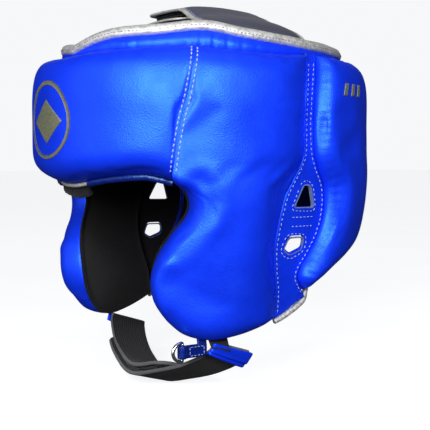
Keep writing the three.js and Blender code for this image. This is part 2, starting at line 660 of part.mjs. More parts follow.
function emblemRing() {
  const segments = 40;
  const positions = [];
  const index = [];
  for (let i = 0; i < segments; i += 1) {
    const angle = (2 * Math.PI * i) / segments;
    const corners = [[1, EMBLEM_STAND], [1, EMBLEM_FACE], [0.9, EMBLEM_FACE], [0.9, EMBLEM_STAND]];
    for (const [scale, stand] of corners) {
      positions.push(...onHead(-90 + EMBLEM_HALF_WIDTH * scale * Math.cos(angle),
        EMBLEM_HEIGHT + EMBLEM_HALF_HEIGHT * scale * Math.sin(angle), stand).toArray());
    }
    for (let k = 0; k < 4; k += 1) {
      const [a, b] = [4 * i + k, 4 * i + (k + 1) % 4];
      index.push(a, (a + 4) % (4 * segments), (b + 4) % (4 * segments), a, (b + 4) % (4 * segments), b);
    }
  }
  return indexed(positions, index);
}

function emblemLozenge() {
  const rows = 6;
  const half = (t) => 0.25 + LOZENGE_HALF_WIDTH * (1 - Math.abs(2 * t - 1));
  const layer = (stand) => makeGrid(rows + 1, 5, (c, r) => {
    const upward = lerp(-LOZENGE_HALF_HEIGHT, LOZENGE_HALF_HEIGHT, r / rows);
    return onHead(-90 + half(r / rows) * lerp(-1, 1, c / 4), EMBLEM_HEIGHT + upward, stand);
  });
  return between(layer(EMBLEM_FACE), layer(EMBLEM_STAND));
}

// ---- assembly -------------------------------------------------------------------------------------------

const headgear = new THREE.Group();

function add(name, geometry, material) {
  const mesh = new THREE.Mesh(geometry, material);
  mesh.name = name;
  headgear.add(mesh);
  return mesh;
}

function addPad(name, pad) {
  add(`${name}_cover`, pad.cover, BLUE);
  add(`${name}_foam`, pad.foam, FOAM);
  add(`${name}_liner`, pad.liner, LINING);
}

function addPair(name, geometry, material) {
  add(`left_${name}`, geometry, material);
  add(`right_${name}`, mirrored(geometry), material);
}

addPad('front', frontPad);
addPad('left_side', sidePad);
addPad('left_rear', rearPad);
for (const [name, pad] of [['right_side', sidePad], ['right_rear', rearPad]]) {
  addPad(name, { cover: mirrored(pad.cover), foam: mirrored(pad.foam), liner: mirrored(pad.liner) });
}
addPair('ear_panel', earPanel, BLUE);
addPair('lower_binding', lowerBinding, SILVER);
add('brow_binding', browBinding, SILVER);
add('top_flange', topFlange, BLUE);
add('top_trim', topTrim, SILVER);
add('rear_gusset', rearGusset, BLUE);
add('rear_strap_root', rearStrapRoot, BLUE);
add('rear_strap', rearStrap, BLUE);
add('rear_strap_hook', rearHook, TAPE);
add('rear_strap_loop', rearLoop, TAPE);
add('left_crown_root', leftCrownRoot, CROWN);
add('left_crown_wing', leftCrownWing, CROWN);
add('right_crown_wing', mirrored(lowerHalf), CROWN);
add('crown_hook', crownHook, TAPE);
add('crown_loop', crownLoop, TAPE);
add('chin_strap_root', chinRoot, WEBBING);
add('chin_strap', chinStrap, WEBBING);
add('chin_strap_hook', chinHook, TAPE);
add('inner_chin_strap', innerStrap, WEBBING);
add('inner_chin_strap_loop', chinLoop, TAPE);
add('left_strap_sleeve', leftSleeve, BLUE);
add('right_strap_sleeve', rightSleeve, BLUE);
add('ring_tab', ringTab(), BLUE);
add('chin_ring', wireRing(), STEEL).position.copy(RING_PIVOT);
add('emblem_ring', emblemRing(), SILVER);
add('emblem_lozenge', emblemLozenge(), SILVER);

export default headgear;
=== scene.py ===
import json
import math

import bpy
import numpy as np
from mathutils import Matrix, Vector
from mathutils.bvhtree import BVHTree

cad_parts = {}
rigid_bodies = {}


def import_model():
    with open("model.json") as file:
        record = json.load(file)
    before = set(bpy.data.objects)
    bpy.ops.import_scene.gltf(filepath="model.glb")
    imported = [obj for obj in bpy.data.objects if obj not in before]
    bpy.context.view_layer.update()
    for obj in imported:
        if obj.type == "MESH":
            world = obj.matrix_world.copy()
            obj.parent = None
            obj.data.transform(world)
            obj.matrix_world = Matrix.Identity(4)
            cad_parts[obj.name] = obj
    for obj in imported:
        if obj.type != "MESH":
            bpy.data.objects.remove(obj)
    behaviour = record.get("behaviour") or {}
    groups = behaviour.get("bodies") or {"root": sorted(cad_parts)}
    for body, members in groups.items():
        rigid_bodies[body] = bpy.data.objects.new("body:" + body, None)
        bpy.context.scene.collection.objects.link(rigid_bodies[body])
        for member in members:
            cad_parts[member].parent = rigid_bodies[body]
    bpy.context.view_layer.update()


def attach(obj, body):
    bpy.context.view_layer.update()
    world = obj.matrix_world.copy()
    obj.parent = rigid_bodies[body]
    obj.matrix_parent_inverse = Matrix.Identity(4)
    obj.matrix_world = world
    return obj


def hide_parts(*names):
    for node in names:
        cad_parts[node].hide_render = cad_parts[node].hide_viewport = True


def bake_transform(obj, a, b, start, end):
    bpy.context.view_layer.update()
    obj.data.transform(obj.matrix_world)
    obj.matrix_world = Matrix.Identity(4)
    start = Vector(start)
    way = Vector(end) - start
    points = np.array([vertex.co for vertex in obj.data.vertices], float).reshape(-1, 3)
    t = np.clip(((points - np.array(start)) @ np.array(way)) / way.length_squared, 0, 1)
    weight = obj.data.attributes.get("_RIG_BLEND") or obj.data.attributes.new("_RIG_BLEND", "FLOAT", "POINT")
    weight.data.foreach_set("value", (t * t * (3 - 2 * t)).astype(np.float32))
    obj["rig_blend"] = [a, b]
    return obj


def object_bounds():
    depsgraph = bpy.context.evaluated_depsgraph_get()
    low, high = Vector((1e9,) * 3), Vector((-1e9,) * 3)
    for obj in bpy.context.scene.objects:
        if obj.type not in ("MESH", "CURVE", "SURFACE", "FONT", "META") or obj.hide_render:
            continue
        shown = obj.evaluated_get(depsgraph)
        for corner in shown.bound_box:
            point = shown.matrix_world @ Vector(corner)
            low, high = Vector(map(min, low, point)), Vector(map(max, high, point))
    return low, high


# Padded boxing headgear. Lengths are in millimetres until a mesh is made, and the frame is the CAD's: +Z up,
# the face looks along -Y, the wearer's left is +X. A place on the head is a station (degrees round the head,
# -90 front, 0 left ear, 90 back), a height, and a stand, its distance off the head.

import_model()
MM = 0.001
scene = bpy.context.scene

HEAD_HALF_WIDTH, HEAD_FRONT, HEAD_BACK, HEAD_ROUNDNESS = 73, 93, 82, 2.1
TAPER_START, TAPER_SPAN, TAPER_TOP = 45, 55, 0.20
JAW_TAPER, FACE_TAPER, NAPE_TAPER = 0.17, 0.10, 0.16
PAD_BASE, PAD_THICKNESS = 2.0, 18
REAR_GAP_STATION = 80
RIM_STAND, RIM_TRIM_HEIGHT = 5, 5.5
LEATHER = 2.0
SIDES = ("left", "right")


# ---- camera ---------------------------------------------------------------------------------------------

def look(obj, place, target):
    obj.location = Vector(place) * MM
    obj.rotation_euler = (Vector(target) - Vector(place)).to_track_quat("-Z", "Y").to_euler()


def direction(azimuth, elevation):
    """The way from the object towards an azimuth and an elevation in degrees."""
    a, e = math.radians(azimuth), math.radians(elevation)
    return np.array([math.cos(e) * math.sin(a), -math.cos(e) * math.cos(a), math.sin(e)])


camera = bpy.data.objects.new("camera", bpy.data.cameras.new("camera"))
scene.collection.objects.link(camera)
camera.data.sensor_width = 36
camera.data.lens = 79.53
camera.data.clip_start = 0.01
CAMERA_AZIMUTH, CAMERA_ELEVATION, CAMERA_DISTANCE = 55, 3, 600
TARGET = np.array([6, 0, -20])
look(camera, TARGET + CAMERA_DISTANCE * direction(CAMERA_AZIMUTH, CAMERA_ELEVATION), TARGET)
scene.camera = camera


# ---- the head surface -----------------------------------------------------------------------------------

def smoothstep(x, low, high):
    t = np.clip((np.asarray(x, float) - low) / (high - low), 0, 1)
    return t * t * (3 - 2 * t)


def signed_power(v, p):
    return np.sign(v) * np.abs(v) ** p


def unit(v):
    return v / np.maximum(np.linalg.norm(v, axis=-1, keepdims=True), 1e-9)


def head_point(station, height):
    station, height = np.broadcast_arrays(np.asarray(station, float), np.asarray(height, float))
    angle = np.radians(station)
    closing = np.clip((height - TAPER_START) / TAPER_SPAN, 0, 1) ** 2.2
    crown = 1 - TAPER_TOP * closing
    jaw = 1 - JAW_TAPER * smoothstep(-height, 5, 100)
    face = 1 - FACE_TAPER * smoothstep(-height, 0, 60)
    nape = 1 - NAPE_TAPER * smoothstep(-height, -10, 70)
    depth = np.where(np.sin(angle) < 0, HEAD_FRONT * face, HEAD_BACK * nape)
    return np.stack([
        HEAD_HALF_WIDTH * jaw * crown * signed_power(np.cos(angle), 2 / HEAD_ROUNDNESS),
        depth * crown * signed_power(np.sin(angle), 2 / HEAD_ROUNDNESS),
        height], axis=-1)


def head_normal(station, height):
    step = 0.05
    around = head_point(np.add(station, step), height) - head_point(np.subtract(station, step), height)
    upward = head_point(station, np.add(height, step)) - head_point(station, np.subtract(height, step))
    return unit(np.cross(around, upward))


def on_head(station, height, stand=0.0):
    return head_point(station, height) + head_normal(station, height) * np.asarray(stand, float)[..., None]


# ---- curves and patches ---------------------------------------------------------------------------------

def spline(points, count=400):
    """A smooth line through the points, evenly resampled."""
    p = np.asarray(points, float)
    p = np.vstack([p[:1], p, p[-1:]])
    out = []
    for i in range(1, len(p) - 2):
        t = np.linspace(0, 1, 40, endpoint=i == len(p) - 3)[:, None]
        a, b, c, d = p[i - 1], p[i], p[i + 1], p[i + 2]
        out.append(0.5 * (2 * b + (c - a) * t + (2 * a - 5 * b + 4 * c - d) * t ** 2
                          + (3 * b - a - 3 * c + d) * t ** 3))
    return resample(np.vstack(out), count)


def resample(line, count):
    length = np.concatenate([[0], np.cumsum(np.linalg.norm(np.diff(line, axis=0), axis=1))])
    at = np.linspace(0, length[-1], count)
    return np.stack([np.interp(at, length, line[:, k]) for k in range(line.shape[1])], axis=1)


def at(line, share):
    where = np.linspace(0, 1, len(line))
    return np.stack([np.interp(share, where, line[:, k]) for k in range(line.shape[1])], axis=-1)


def shifted(line, station=0.0, height=0.0):
    return line + np.array([station, height])


def other_side(points):
    return [[-180 - s, h] for s, h in points][::-1]


def patch(outline, across, up):
    """(station, height) over the area between four edges, for shares across and up."""
    s, t = np.meshgrid(across, up)
    bottom, top, left, right = (outline[k] for k in ("bottom", "top", "left", "right"))
    b, u, l, r = at(bottom, s), at(top, s), at(left, t), at(right, t)
    s, t = s[..., None], t[..., None]
    return (b * (1 - t) + u * t + l * (1 - s) + r * s
            - (bottom[0] * (1 - s) + bottom[-1] * s) * (1 - t) - (top[0] * (1 - s) + top[-1] * s) * t)


def nearest(line, points):
    """Each point's least distance to a polyline, and how far along the polyline that place is."""
    length = np.concatenate([[0], np.cumsum(np.linalg.norm(np.diff(line, axis=0), axis=1))])
    flat = points.reshape(-1, 3)
    best, where = np.full(len(flat), np.inf), np.zeros(len(flat))
    for i, (p, q) in enumerate(zip(line[:-1], line[1:])):
        d = q - p
        t = np.clip((flat - p) @ d / max(d @ d, 1e-9), 0, 1)
        far = np.linalg.norm(flat - p - t[:, None] * d, axis=1)
        closer = far < best
        best[closer] = far[closer]
        where[closer] = (length[i] + t * np.linalg.norm(d))[closer]
    return best.reshape(points.shape[:-1]), where.reshape(points.shape[:-1])


def distance_to(line, points):
    return nearest(line, points)[0]


# ---- smooth noise -----------------------------------------------------------------------------------------

def noise(points, scale, seed=0):
    """Smooth value noise, from -1 to 1, over points in mm. Scale is the size of its bumps."""
    p = np.asarray(points, float) / scale
    cell = np.floor(p).astype(int)
    f = p - cell
    f = f * f * (3 - 2 * f)
    total = np.zeros(p.shape[:-1])
    for corner in range(8):
        o = np.array([(corner >> k) & 1 for k in range(3)])
        c = cell + o
        h = (c[..., 0] * 73856093) ^ (c[..., 1] * 19349663) ^ (c[..., 2] * 83492791) ^ (seed * 2654435)
        value = (np.abs(np.sin(h % 1000003 * 12.9898)) * 43758.5453) % 1
        weight = np.prod(np.where(o == 1, f, 1 - f), axis=-1)
        total += weight * (2 * value - 1)
    return total


# ---- meshes -----------------------------------------------------------------------------------------------

PIECES = {}


def make(name, points, faces, materials, face_slots=None, smooth=True, uv=None):
    mesh = bpy.data.meshes.new(name)
    mesh.from_pydata((np.asarray(points) * MM).tolist(), [], [list(map(int, f)) for f in faces])
    for m in materials:
        mesh.materials.append(m)
    if face_slots is not None:
        mesh.polygons.foreach_set("material_index", np.asarray(face_slots, np.int32))
    mesh.polygons.foreach_set("use_smooth", np.full(len(mesh.polygons), smooth))
    if uv is not None:
        layer = mesh.uv_layers.new(name="along")
        loops = np.zeros(len(mesh.loops), np.int32)
        mesh.loops.foreach_get("vertex_index", loops)
        layer.data.foreach_set("uv", (np.asarray(uv)[loops] * MM).astype(np.float32).ravel())
    mesh.validate()
    mesh.update()
    obj = bpy.data.objects.new(name, mesh)
    scene.collection.objects.link(obj)
    PIECES[name] = obj
    return obj


def stands_for(piece, slot, *nodes):
    """Hides the CAD nodes that a piece stands for, and returns the piece; its slot is not used."""
    if nodes:
        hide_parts(*nodes)
    return piece


def grid_faces(rows, columns, start=0, wrap=False):
    r, c = np.meshgrid(np.arange(rows - 1), np.arange(columns - (0 if wrap else 1)), indexing="ij")
    n = (c + 1) % columns
    quads = np.stack([r * columns + c, r * columns + n, (r + 1) * columns + n, (r + 1) * columns + c], axis=-1)
    return (quads + start).reshape(-1, 4)


def border(rows, columns):
    return ([(0, c) for c in range(columns - 1)] + [(r, columns - 1) for r in range(rows - 1)]
            + [(rows - 1, c) for c in range(columns - 1, 0, -1)] + [(r, 0) for r in range(rows - 1, 0, -1)])


def slab(outer, inner):
    """Points and faces of the closed solid between two grids. Its rim is rounded by one extra row."""
    rows, columns = outer.shape[:2]
    count = rows * columns
    edge = [r * columns + c for r, c in border(rows, columns)]
    flat_outer, flat_inner = outer.reshape(-1, 3), inner.reshape(-1, 3)
    middle = (flat_outer[edge] + flat_inner[edge]) / 2
    inward = []
    for r, c in border(rows, columns):
        inner_r, inner_c = np.clip(r, 1, rows - 2), np.clip(c, 1, columns - 2)
        inward.append(outer[r, c] - outer[inner_r, inner_c])
    thickness = np.linalg.norm(flat_outer[edge] - flat_inner[edge], axis=1, keepdims=True)
    middle = middle + unit(np.array(inward)) * thickness * 0.35
    faces = [*grid_faces(rows, columns)]
    faces += [f[::-1] for f in grid_faces(rows, columns, count)]
    n = len(edge)
    for i in range(n):
        a, b = edge[i], edge[(i + 1) % n]
        m, k = 2 * count + i, 2 * count + (i + 1) % n
        faces.append([m, k, b, a])
        faces.append([count + a, count + b, k, m])
    return np.vstack([flat_outer, flat_inner, middle]), faces, 2 * count + n


def slab_piece(name, outer, inner, material, slot, *nodes):
    points, faces, _ = slab(outer, inner)
    return stands_for(make(name, points, faces, [material]), slot, *nodes)


def surface_of(*objects):
    """A tree of the objects' final surfaces, for laying things on them."""
    depsgraph = bpy.context.evaluated_depsgraph_get()
    points, faces = [], []
    for o in objects:
        mesh = o.evaluated_get(depsgraph).to_mesh()
        start = len(points)
        points += [Vector(v.co) for v in mesh.vertices]
        faces += [[start + i for i in p.vertices] for p in mesh.polygons]
    return BVHTree.FromPolygons(points, faces)


def lay(tree, stations, heights, lift=0.0, fallback=PAD_BASE + PAD_THICKNESS):
    """Points on a surface, seen from outside along the head's normals, with the surface's normals."""
    origin = on_head(stations, heights, np.full(np.shape(stations), 60.0))
    normal = head_normal(stations, heights)
    points, normals = [], []
    for o, n in zip(origin.reshape(-1, 3), normal.reshape(-1, 3)):
        hit, hit_normal, _, _ = tree.ray_cast(Vector(o * MM), Vector(-n))
        if hit is None:
            points.append(o - n * (60 - fallback))
            normals.append(n)
        else:
            hit_normal = np.array(hit_normal)
            if hit_normal @ n < 0:
                hit_normal = -hit_normal
            points.append(np.array(hit) / MM + hit_normal * lift)
            normals.append(hit_normal)
    shape = origin.shape
    return np.array(points).reshape(shape), np.array(normals).reshape(shape)


def tube(name, path, normals, width, height, materials, closed=False, sides=10, wave=None, power=2.0):
    """A soft cord-like strip along a path: width across, height along the normals."""
    path, normals = np.asarray(path, float), unit(np.asarray(normals, float))
    count = len(path)
    ahead = np.roll(path, -1, axis=0) - np.roll(path, 1, axis=0)
    if not closed:
        ahead[0], ahead[-1] = path[1] - path[0], path[-1] - path[-2]
    ahead = unit(ahead)
    side = unit(np.cross(ahead, normals))
    turn = np.linspace(0, 2 * math.pi, sides, endpoint=False)
    c, s = signed_power(np.cos(turn), 2 / power), signed_power(np.sin(turn), 2 / power)
    swell = np.ones((count, sides)) if wave is None else wave
    points = (path[:, None] + side[:, None] * (c * swell)[..., None] * width / 2
              + normals[:, None] * (s * swell)[..., None] * height / 2)
    faces = [*grid_faces(count, sides, wrap=True)]
    if closed:
        last = (count - 1) * sides
        faces += [[last + i, last + (i + 1) % sides, (i + 1) % sides, i] for i in range(sides)]
    else:
        faces += [list(range(sides))[::-1], [(count - 1) * sides + i for i in range(sides)]]
    return make(name, points.reshape(-1, 3), faces, materials)


def stitches(name, runs, material, pitch=3.2, length=2.2, thick=0.55, sink=0.15):
    """Rows of thread stitches. Each run is (points, normals) along a seam."""
    ring, rows = 5, 5
    turn = np.linspace(0, 2 * math.pi, ring, endpoint=False)
    points, faces = [], []
    for path, normals in runs:
        path, normals = np.asarray(path, float), np.asarray(normals, float)
        along = np.concatenate([[0], np.cumsum(np.linalg.norm(np.diff(path, axis=0), axis=1))])
        for start in np.arange(pitch * 0.3, along[-1] - length, pitch):
            share = np.linspace(start, start + length, rows)
            centre = np.stack([np.interp(share, along, path[:, k]) for k in range(3)], axis=1)
            normal = unit(np.stack([np.interp(share, along, normals[:, k]) for k in range(3)], axis=1))
            ahead = unit(np.gradient(centre, axis=0))
            side = unit(np.cross(ahead, normal))
            fat = np.sin(np.linspace(0.12, 0.88, rows) * math.pi) ** 0.6
            rise = (np.sin(np.linspace(0, 1, rows) * math.pi) ** 0.7 - 0.75) * thick * 0.6 - sink * 0.3
            centre = centre + normal * rise[:, None]
            loop = (centre[:, None] + side[:, None] * (np.cos(turn) * fat[:, None])[..., None] * thick / 2
                    + normal[:, None] * (np.sin(turn) * fat[:, None])[..., None] * thick / 2)
            base = len(points)
            points += [*loop.reshape(-1, 3), centre[0] - ahead[0] * thick / 4, centre[-1] + ahead[-1] * thick / 4]
            faces += [*grid_faces(rows, ring, base, wrap=True)]
            first, last, end = base + rows * ring, base + rows * ring + 1, base + (rows - 1) * ring
            faces += [[first, base + (i + 1) % ring, base + i] for i in range(ring)]
            faces += [[last, end + i, end + (i + 1) % ring] for i in range(ring)]
    return make(name, np.array(points), faces, [material])


# ---- materials --------------------------------------------------------------------------------------------

class Nodes:
    """A small helper for building one procedural material."""

    def __init__(self, name):
        self.material = bpy.data.materials.new(name)
        self.material.use_nodes = True
        self.tree = self.material.node_tree
        self.shader = self.tree.nodes["Principled BSDF"]
        self.place = self.node("ShaderNodeTexCoord").outputs["Object"]

    def node(self, kind, inputs=None, **settings):
        n = self.tree.nodes.new(kind)
        for key, value in settings.items():
            setattr(n, key, value)
        for key, value in (inputs or {}).items():
            self.put(n.inputs[key], value)
        return n

    def put(self, socket, value):
        if isinstance(value, bpy.types.NodeSocket):
            self.tree.links.new(value, socket)
        else:
            socket.default_value = value

    def set(self, **values):
        for key, value in values.items():
            self.put(self.shader.inputs[key.replace("_", " ")], value)

    def noise(self, scale, detail=2.0, rough=0.5, vector=None):
        return self.node("ShaderNodeTexNoise", {"Vector": vector or self.place, "Scale": scale, "Detail": detail,
                                                "Roughness": rough}).outputs["Fac"]

    def cells(self, scale, feature="F1", vector=None, smooth=0.4):
        n = self.node("ShaderNodeTexVoronoi", {"Vector": vector or self.place, "Scale": scale}, feature=feature)
        if feature == "SMOOTH_F1":
            self.put(n.inputs["Smoothness"], smooth)
        return n.outputs["Distance"]

    def math(self, operation, a, b=0.0, c=0.0):
        return self.node("ShaderNodeMath", {0: a, 1: b, 2: c}, operation=operation).outputs[0]

    def ramp(self, value, stops):
        n = self.node("ShaderNodeValToRGB", {"Fac": value})
        elements = n.color_ramp.elements
        while len(elements) < len(stops):
            elements.new(0.5)
        for e, (position, colour) in zip(elements, stops):
            e.position = position
            e.color = (*colour, 1) if hasattr(colour, "__len__") else (colour, colour, colour, 1)
        return n.outputs["Color"]

    def remap(self, value, low, high, out_low, out_high):
        return self.node("ShaderNodeMapRange", {"Value": value, "From Min": low, "From Max": high,
                                                "To Min": out_low, "To Max": out_high}).outputs["Result"]

    def bump(self, height, strength, distance, before=None):
        n = self.node("ShaderNodeBump", {"Height": height, "Strength": strength, "Distance": distance})
        if before is not None:
            self.put(n.inputs["Normal"], before)
        return n.outputs["Normal"]


def leather(name, dark, main, light, metallic, rough, coat, grain=0.5, grain_scale=950, wrinkle=0.35,
            tint=(1, 1, 1), specular=0.5):
    m = Nodes(name)
    mottle = m.noise(24, 3, 0.6)
    fine = m.noise(420, 2, 0.6)
    tone = m.math("ADD", m.math("MULTIPLY", mottle, 0.75), m.math("MULTIPLY", fine, 0.25))
    m.set(Base_Color=m.ramp(tone, [(0.25, dark), (0.52, main), (0.8, light)]), Metallic=metallic,
          Roughness=m.remap(m.noise(60, 4, 0.6), 0.3, 0.7, rough - 0.05, rough + 0.07),
          Coat_Weight=coat, Coat_Roughness=0.12, Specular_Tint=(*tint, 1), Specular_IOR_Level=specular)
    pebbles = m.cells(grain_scale, "SMOOTH_F1")
    creases = m.noise(150, 5, 0.65)
    soft = m.bump(creases, wrinkle, 0.0009)
    m.set(Normal=m.bump(pebbles, grain, 0.0002, soft))
    return m.material


def fuzzy(name, dark, main, scale=700, depth=0.0004, rough=0.95, sheen=0.4):
    m = Nodes(name)
    clumps = m.noise(scale, 4, 0.7)
    broad = m.noise(35, 2, 0.5)
    tone = m.math("ADD", m.math("MULTIPLY", clumps, 0.6), m.math("MULTIPLY", broad, 0.4))
    m.set(Base_Color=m.ramp(tone, [(0.3, dark), (0.7, main)]), Roughness=rough, Sheen_Weight=sheen,
          Sheen_Roughness=0.5, Specular_IOR_Level=0.12, Normal=m.bump(clumps, 0.8, depth))
    return m.material


def crinkled(name, dark, main, light, scale=520, metallic=0.55, rough=0.42, depth=1.0):
    """Metallic binding film that has cracked into fine creases."""
    m = Nodes(name)
    flakes = m.cells(scale, "F1")
    creases = m.noise(scale * 0.45, 6, 0.75)
    tone = m.math("ADD", m.math("MULTIPLY", creases, 0.7), m.math("MULTIPLY", flakes, 0.6))
    m.set(Base_Color=m.ramp(tone, [(0.25, dark), (0.5, main), (0.75, light)]), Metallic=metallic,
          Roughness=m.remap(flakes, 0, 0.8, rough - 0.1, rough + 0.2),
          Normal=m.bump(flakes, 0.5 * depth, 0.0006, m.bump(creases, 0.9 * depth, 0.0012)))
    return m.material


def webbing(name, dark, main, rib=1.3):
    """Woven tape: ribs along and across, from the piece's own length and width coordinates in metres."""
    m = Nodes(name)
    uv = m.node("ShaderNodeUVMap", uv_map="along").outputs["UV"]
    parts = m.node("ShaderNodeSeparateXYZ", {"Vector": uv})
    turns = 2 * math.pi / (rib * MM)
    along = m.math("SINE", m.math("MULTIPLY", parts.outputs["X"], turns))
    across = m.math("SINE", m.math("MULTIPLY", parts.outputs["Y"], turns * 0.8))
    weave = m.math("MULTIPLY", m.math("ADD", along, 1.2), m.math("ADD", across, 1.2))
    fibres = m.noise(1500, 3, 0.7)
    height = m.math("ADD", m.math("MULTIPLY", weave, 0.2), m.math("MULTIPLY", fibres, 0.3))
    m.set(Base_Color=m.ramp(m.math("MULTIPLY", height, 0.9), [(0.2, dark), (0.9, main)]), Roughness=0.8,
          Sheen_Weight=0.05, Specular_IOR_Level=0.2, Normal=m.bump(height, 0.7, 0.0004))
    return m.material


def thread(name, dark, main, rough=0.45, metallic=0.0):
    m = Nodes(name)
    plies = m.node("ShaderNodeTexWave", {"Vector": m.place, "Scale": 700.0, "Distortion": 3.0, "Detail": 1.0},
                   wave_type="BANDS", bands_direction="DIAGONAL").outputs["Fac"]
    m.set(Base_Color=m.ramp(plies, [(0.1, dark), (0.7, main)]), Roughness=rough, Metallic=metallic,
          Normal=m.bump(plies, 0.6, 0.00015))
    return m.material


def metal(name, colour, rough):
    m = Nodes(name)
    scratches = m.noise(900, 4, 0.7)
    m.set(Base_Color=m.ramp(m.noise(90, 3, 0.6), [(0.3, [c * 0.8 for c in colour]), (0.7, colour)]), Metallic=1.0,
          Roughness=m.remap(scratches, 0.3, 0.7, rough, rough + 0.15), Normal=m.bump(scratches, 0.15, 0.0001))
    return m.material


BLUE = leather("blue_leather", (0.003, 0.024, 0.62), (0.004, 0.031, 0.80), (0.006, 0.040, 0.90), 0.45, 0.43, 0.0,
               grain=0.36, grain_scale=1300, wrinkle=0.10, tint=(0.16, 0.62, 1.0), specular=1.0)
# Painted shade: a darker copy of the blue leather, used where the blue leather sits in shade: the brow rolls, the rear
# gusset, and the ring tab with its root.
SHADED_BLUE = leather("shaded_blue_leather", (0.001, 0.004, 0.06), (0.001, 0.006, 0.10), (0.002, 0.010, 0.15), 0.0, 0.36, 0.10,
               tint=(0.3, 0.6, 1.0))
CROWN = leather("pearl_grey_leather", (0.038, 0.040, 0.060), (0.052, 0.054, 0.080), (0.07, 0.073, 0.105), 0.2, 0.42,
                0.05, grain=0.2, grain_scale=1300, wrinkle=0.08)
LINING = fuzzy("black_lining", (0.0015, 0.0015, 0.002), (0.006, 0.006, 0.008), sheen=0.06)
TAPE = fuzzy("hook_and_loop_tape", (0.002, 0.002, 0.003), (0.012, 0.012, 0.014), scale=1300, depth=0.0006, sheen=0.1)
SILVER = crinkled("silver_binding", (0.26, 0.26, 0.255), (0.36, 0.36, 0.355), (0.46, 0.46, 0.45), depth=0.35)
FILM = crinkled("silver_print", (0.085, 0.09, 0.06), (0.105, 0.11, 0.07), (0.13, 0.135, 0.09), scale=900,
                metallic=0.3, rough=0.5, depth=0.25)
WEB = webbing("black_webbing", (0.003, 0.003, 0.004), (0.015, 0.014, 0.019))
EDGING = fuzzy("grey_edging", (0.04, 0.04, 0.045), (0.10, 0.10, 0.11), scale=1600, depth=0.0002, rough=0.7, sheen=0.1)
PALE_THREAD = thread("silver_thread", (0.10, 0.14, 0.30), (0.30, 0.36, 0.58), 0.35, 0.1)
GREY_THREAD = thread("grey_thread", (0.04, 0.04, 0.045), (0.11, 0.11, 0.12))
CUT_EDGE = fuzzy("cut_leather_edge", (0.02, 0.04, 0.14), (0.06, 0.10, 0.24), scale=900, depth=0.0003, rough=0.6)
CHROME = metal("chrome_wire", (0.82, 0.83, 0.86), 0.12)


# ---- outlines of the pads, wearer's left ----------------------------------------------------------------------

TOP_LINE = [[-90, 72.3], [-61, 73.8], [-34.5, 74.8], [-19, 73.2], [-4, 72.8], [8.2, 73.4], [14.6, 73.5],
            [40, 73], [REAR_GAP_STATION, 72.5]]
TEMPLE_SEAM = [[-41.4, 3.2], [-40.3, 18], [-38.6, 35], [-36.4, 50], [-34.9, 64], [-34.5, 74.8]]
BROW_LINE = [[-90, 1.2], [-68, 4.8], [-52, 6.4], [-41.4, 3.2]]
CHEEK_FRONT = [[-46, -74], [-51.3, -63], [-52.7, -51], [-50, -39], [-43.8, -27], [-37.9, -17.5], [-35.9, -10],
               [-37.2, -3], *TEMPLE_SEAM]
SIDE_BOTTOM = [[-46, -74], [-38, -82.8], [-28, -86.6], [-18, -84.8], [-9, -80.6], [-2.6, -76]]
SIDE_BACK = [[-2.6, -76], [-3.2, -60], [-5.2, -45], [-5.8, -30], [-3.4, -9], [-0.2, 2], [3.2, 11], [5, 20],
             [5.4, 49], [8.2, 73.4]]
REAR_FRONT = [[12, -60.5], [7.4, -53], [8, -45.5], [11, -39], [15.4, -28], [17.8, -16], [17.2, -2],
              [13, 10], [10.8, 22], [10.8, 49], [14.6, 73.5]]
REAR_BOTTOM = [[12, -60.5], [19, -55], [28, -48.5], [47, -39], [60, -31.5], [REAR_GAP_STATION, -27]]
SEAM_GAP = 0.2


def top_between(low, high):
    return spline([p for p in TOP_LINE if low <= p[0] <= high])


FRONT = {
    "bottom": spline(other_side(BROW_LINE) + BROW_LINE[1:]),
    "top": spline(other_side(TOP_LINE[:3]) + TOP_LINE[1:3]),
    "left": shifted(spline(other_side(TEMPLE_SEAM)[::-1]), SEAM_GAP),
    "right": shifted(spline(TEMPLE_SEAM), -SEAM_GAP),
}
SIDE = {
    "bottom": spline(SIDE_BOTTOM),
    "top": top_between(-35, 9),
    "left": shifted(spline(CHEEK_FRONT), SEAM_GAP),
    "right": spline(SIDE_BACK),
}
REAR = {
    "bottom": spline(REAR_BOTTOM),
    "top": top_between(14, REAR_GAP_STATION),
    "left": spline(REAR_FRONT),
    "right": spline([[REAR_GAP_STATION, -27], [REAR_GAP_STATION, 22], [REAR_GAP_STATION, 72.5]]),
}
CHANNEL_GAP, CHANNEL_TOP = 0.7, 73.2
EAR_LEFT = [[s + CHANNEL_GAP, h] for s, h in [[-2.6, -75.4], *SIDE_BACK[1:-1], [8, CHANNEL_TOP]]]
EAR_RIGHT = [[s - CHANNEL_GAP, h] for s, h in [[13.5, -64], *REAR_FRONT[1:-1], [14.5, CHANNEL_TOP]]]
EAR = {
    "bottom": spline([EAR_LEFT[0], EAR_RIGHT[0]]),
    "top": spline([EAR_LEFT[-1], EAR_RIGHT[-1]]),
    "left": spline(EAR_LEFT),
    "right": spline(EAR_RIGHT),
}

# ---- pads -------------------------------------------------------------------------------------------------

# An edge's section: the share of the thickness kept at the edge, how far in it is full, and how square it is.
ROUND = (0, 20, 2.3)
TEMPLE = (0.955, 8, 1.8)
CHANNEL_FRONT = (0.40, 26, 1.5)
CHANNEL_BACK = (0.40, 16, 2.0)
EAR_STAND = 6.8
EAR_FACE = EAR_STAND + LEATHER
INSETS = np.array([0, 0.25, 0.9, 2.0, 3.6, 5.8, 8.6, 12, 16, 20])
SPLIT = 4              # fine rows for each coarse one


def pad_lines(width, step=4.6):
    start = INSETS / width
    middle = max(1, round((width - 2 * INSETS[-1]) / step))
    inner = np.linspace(start[-1], 1 - start[-1], middle + 1)[1:-1]
    return np.concatenate([start, inner, 1 - start[::-1]])


def finer(lines):
    where = np.arange(len(lines))
    return np.interp(np.linspace(0, len(lines) - 1, (len(lines) - 1) * SPLIT + 1), where, lines)


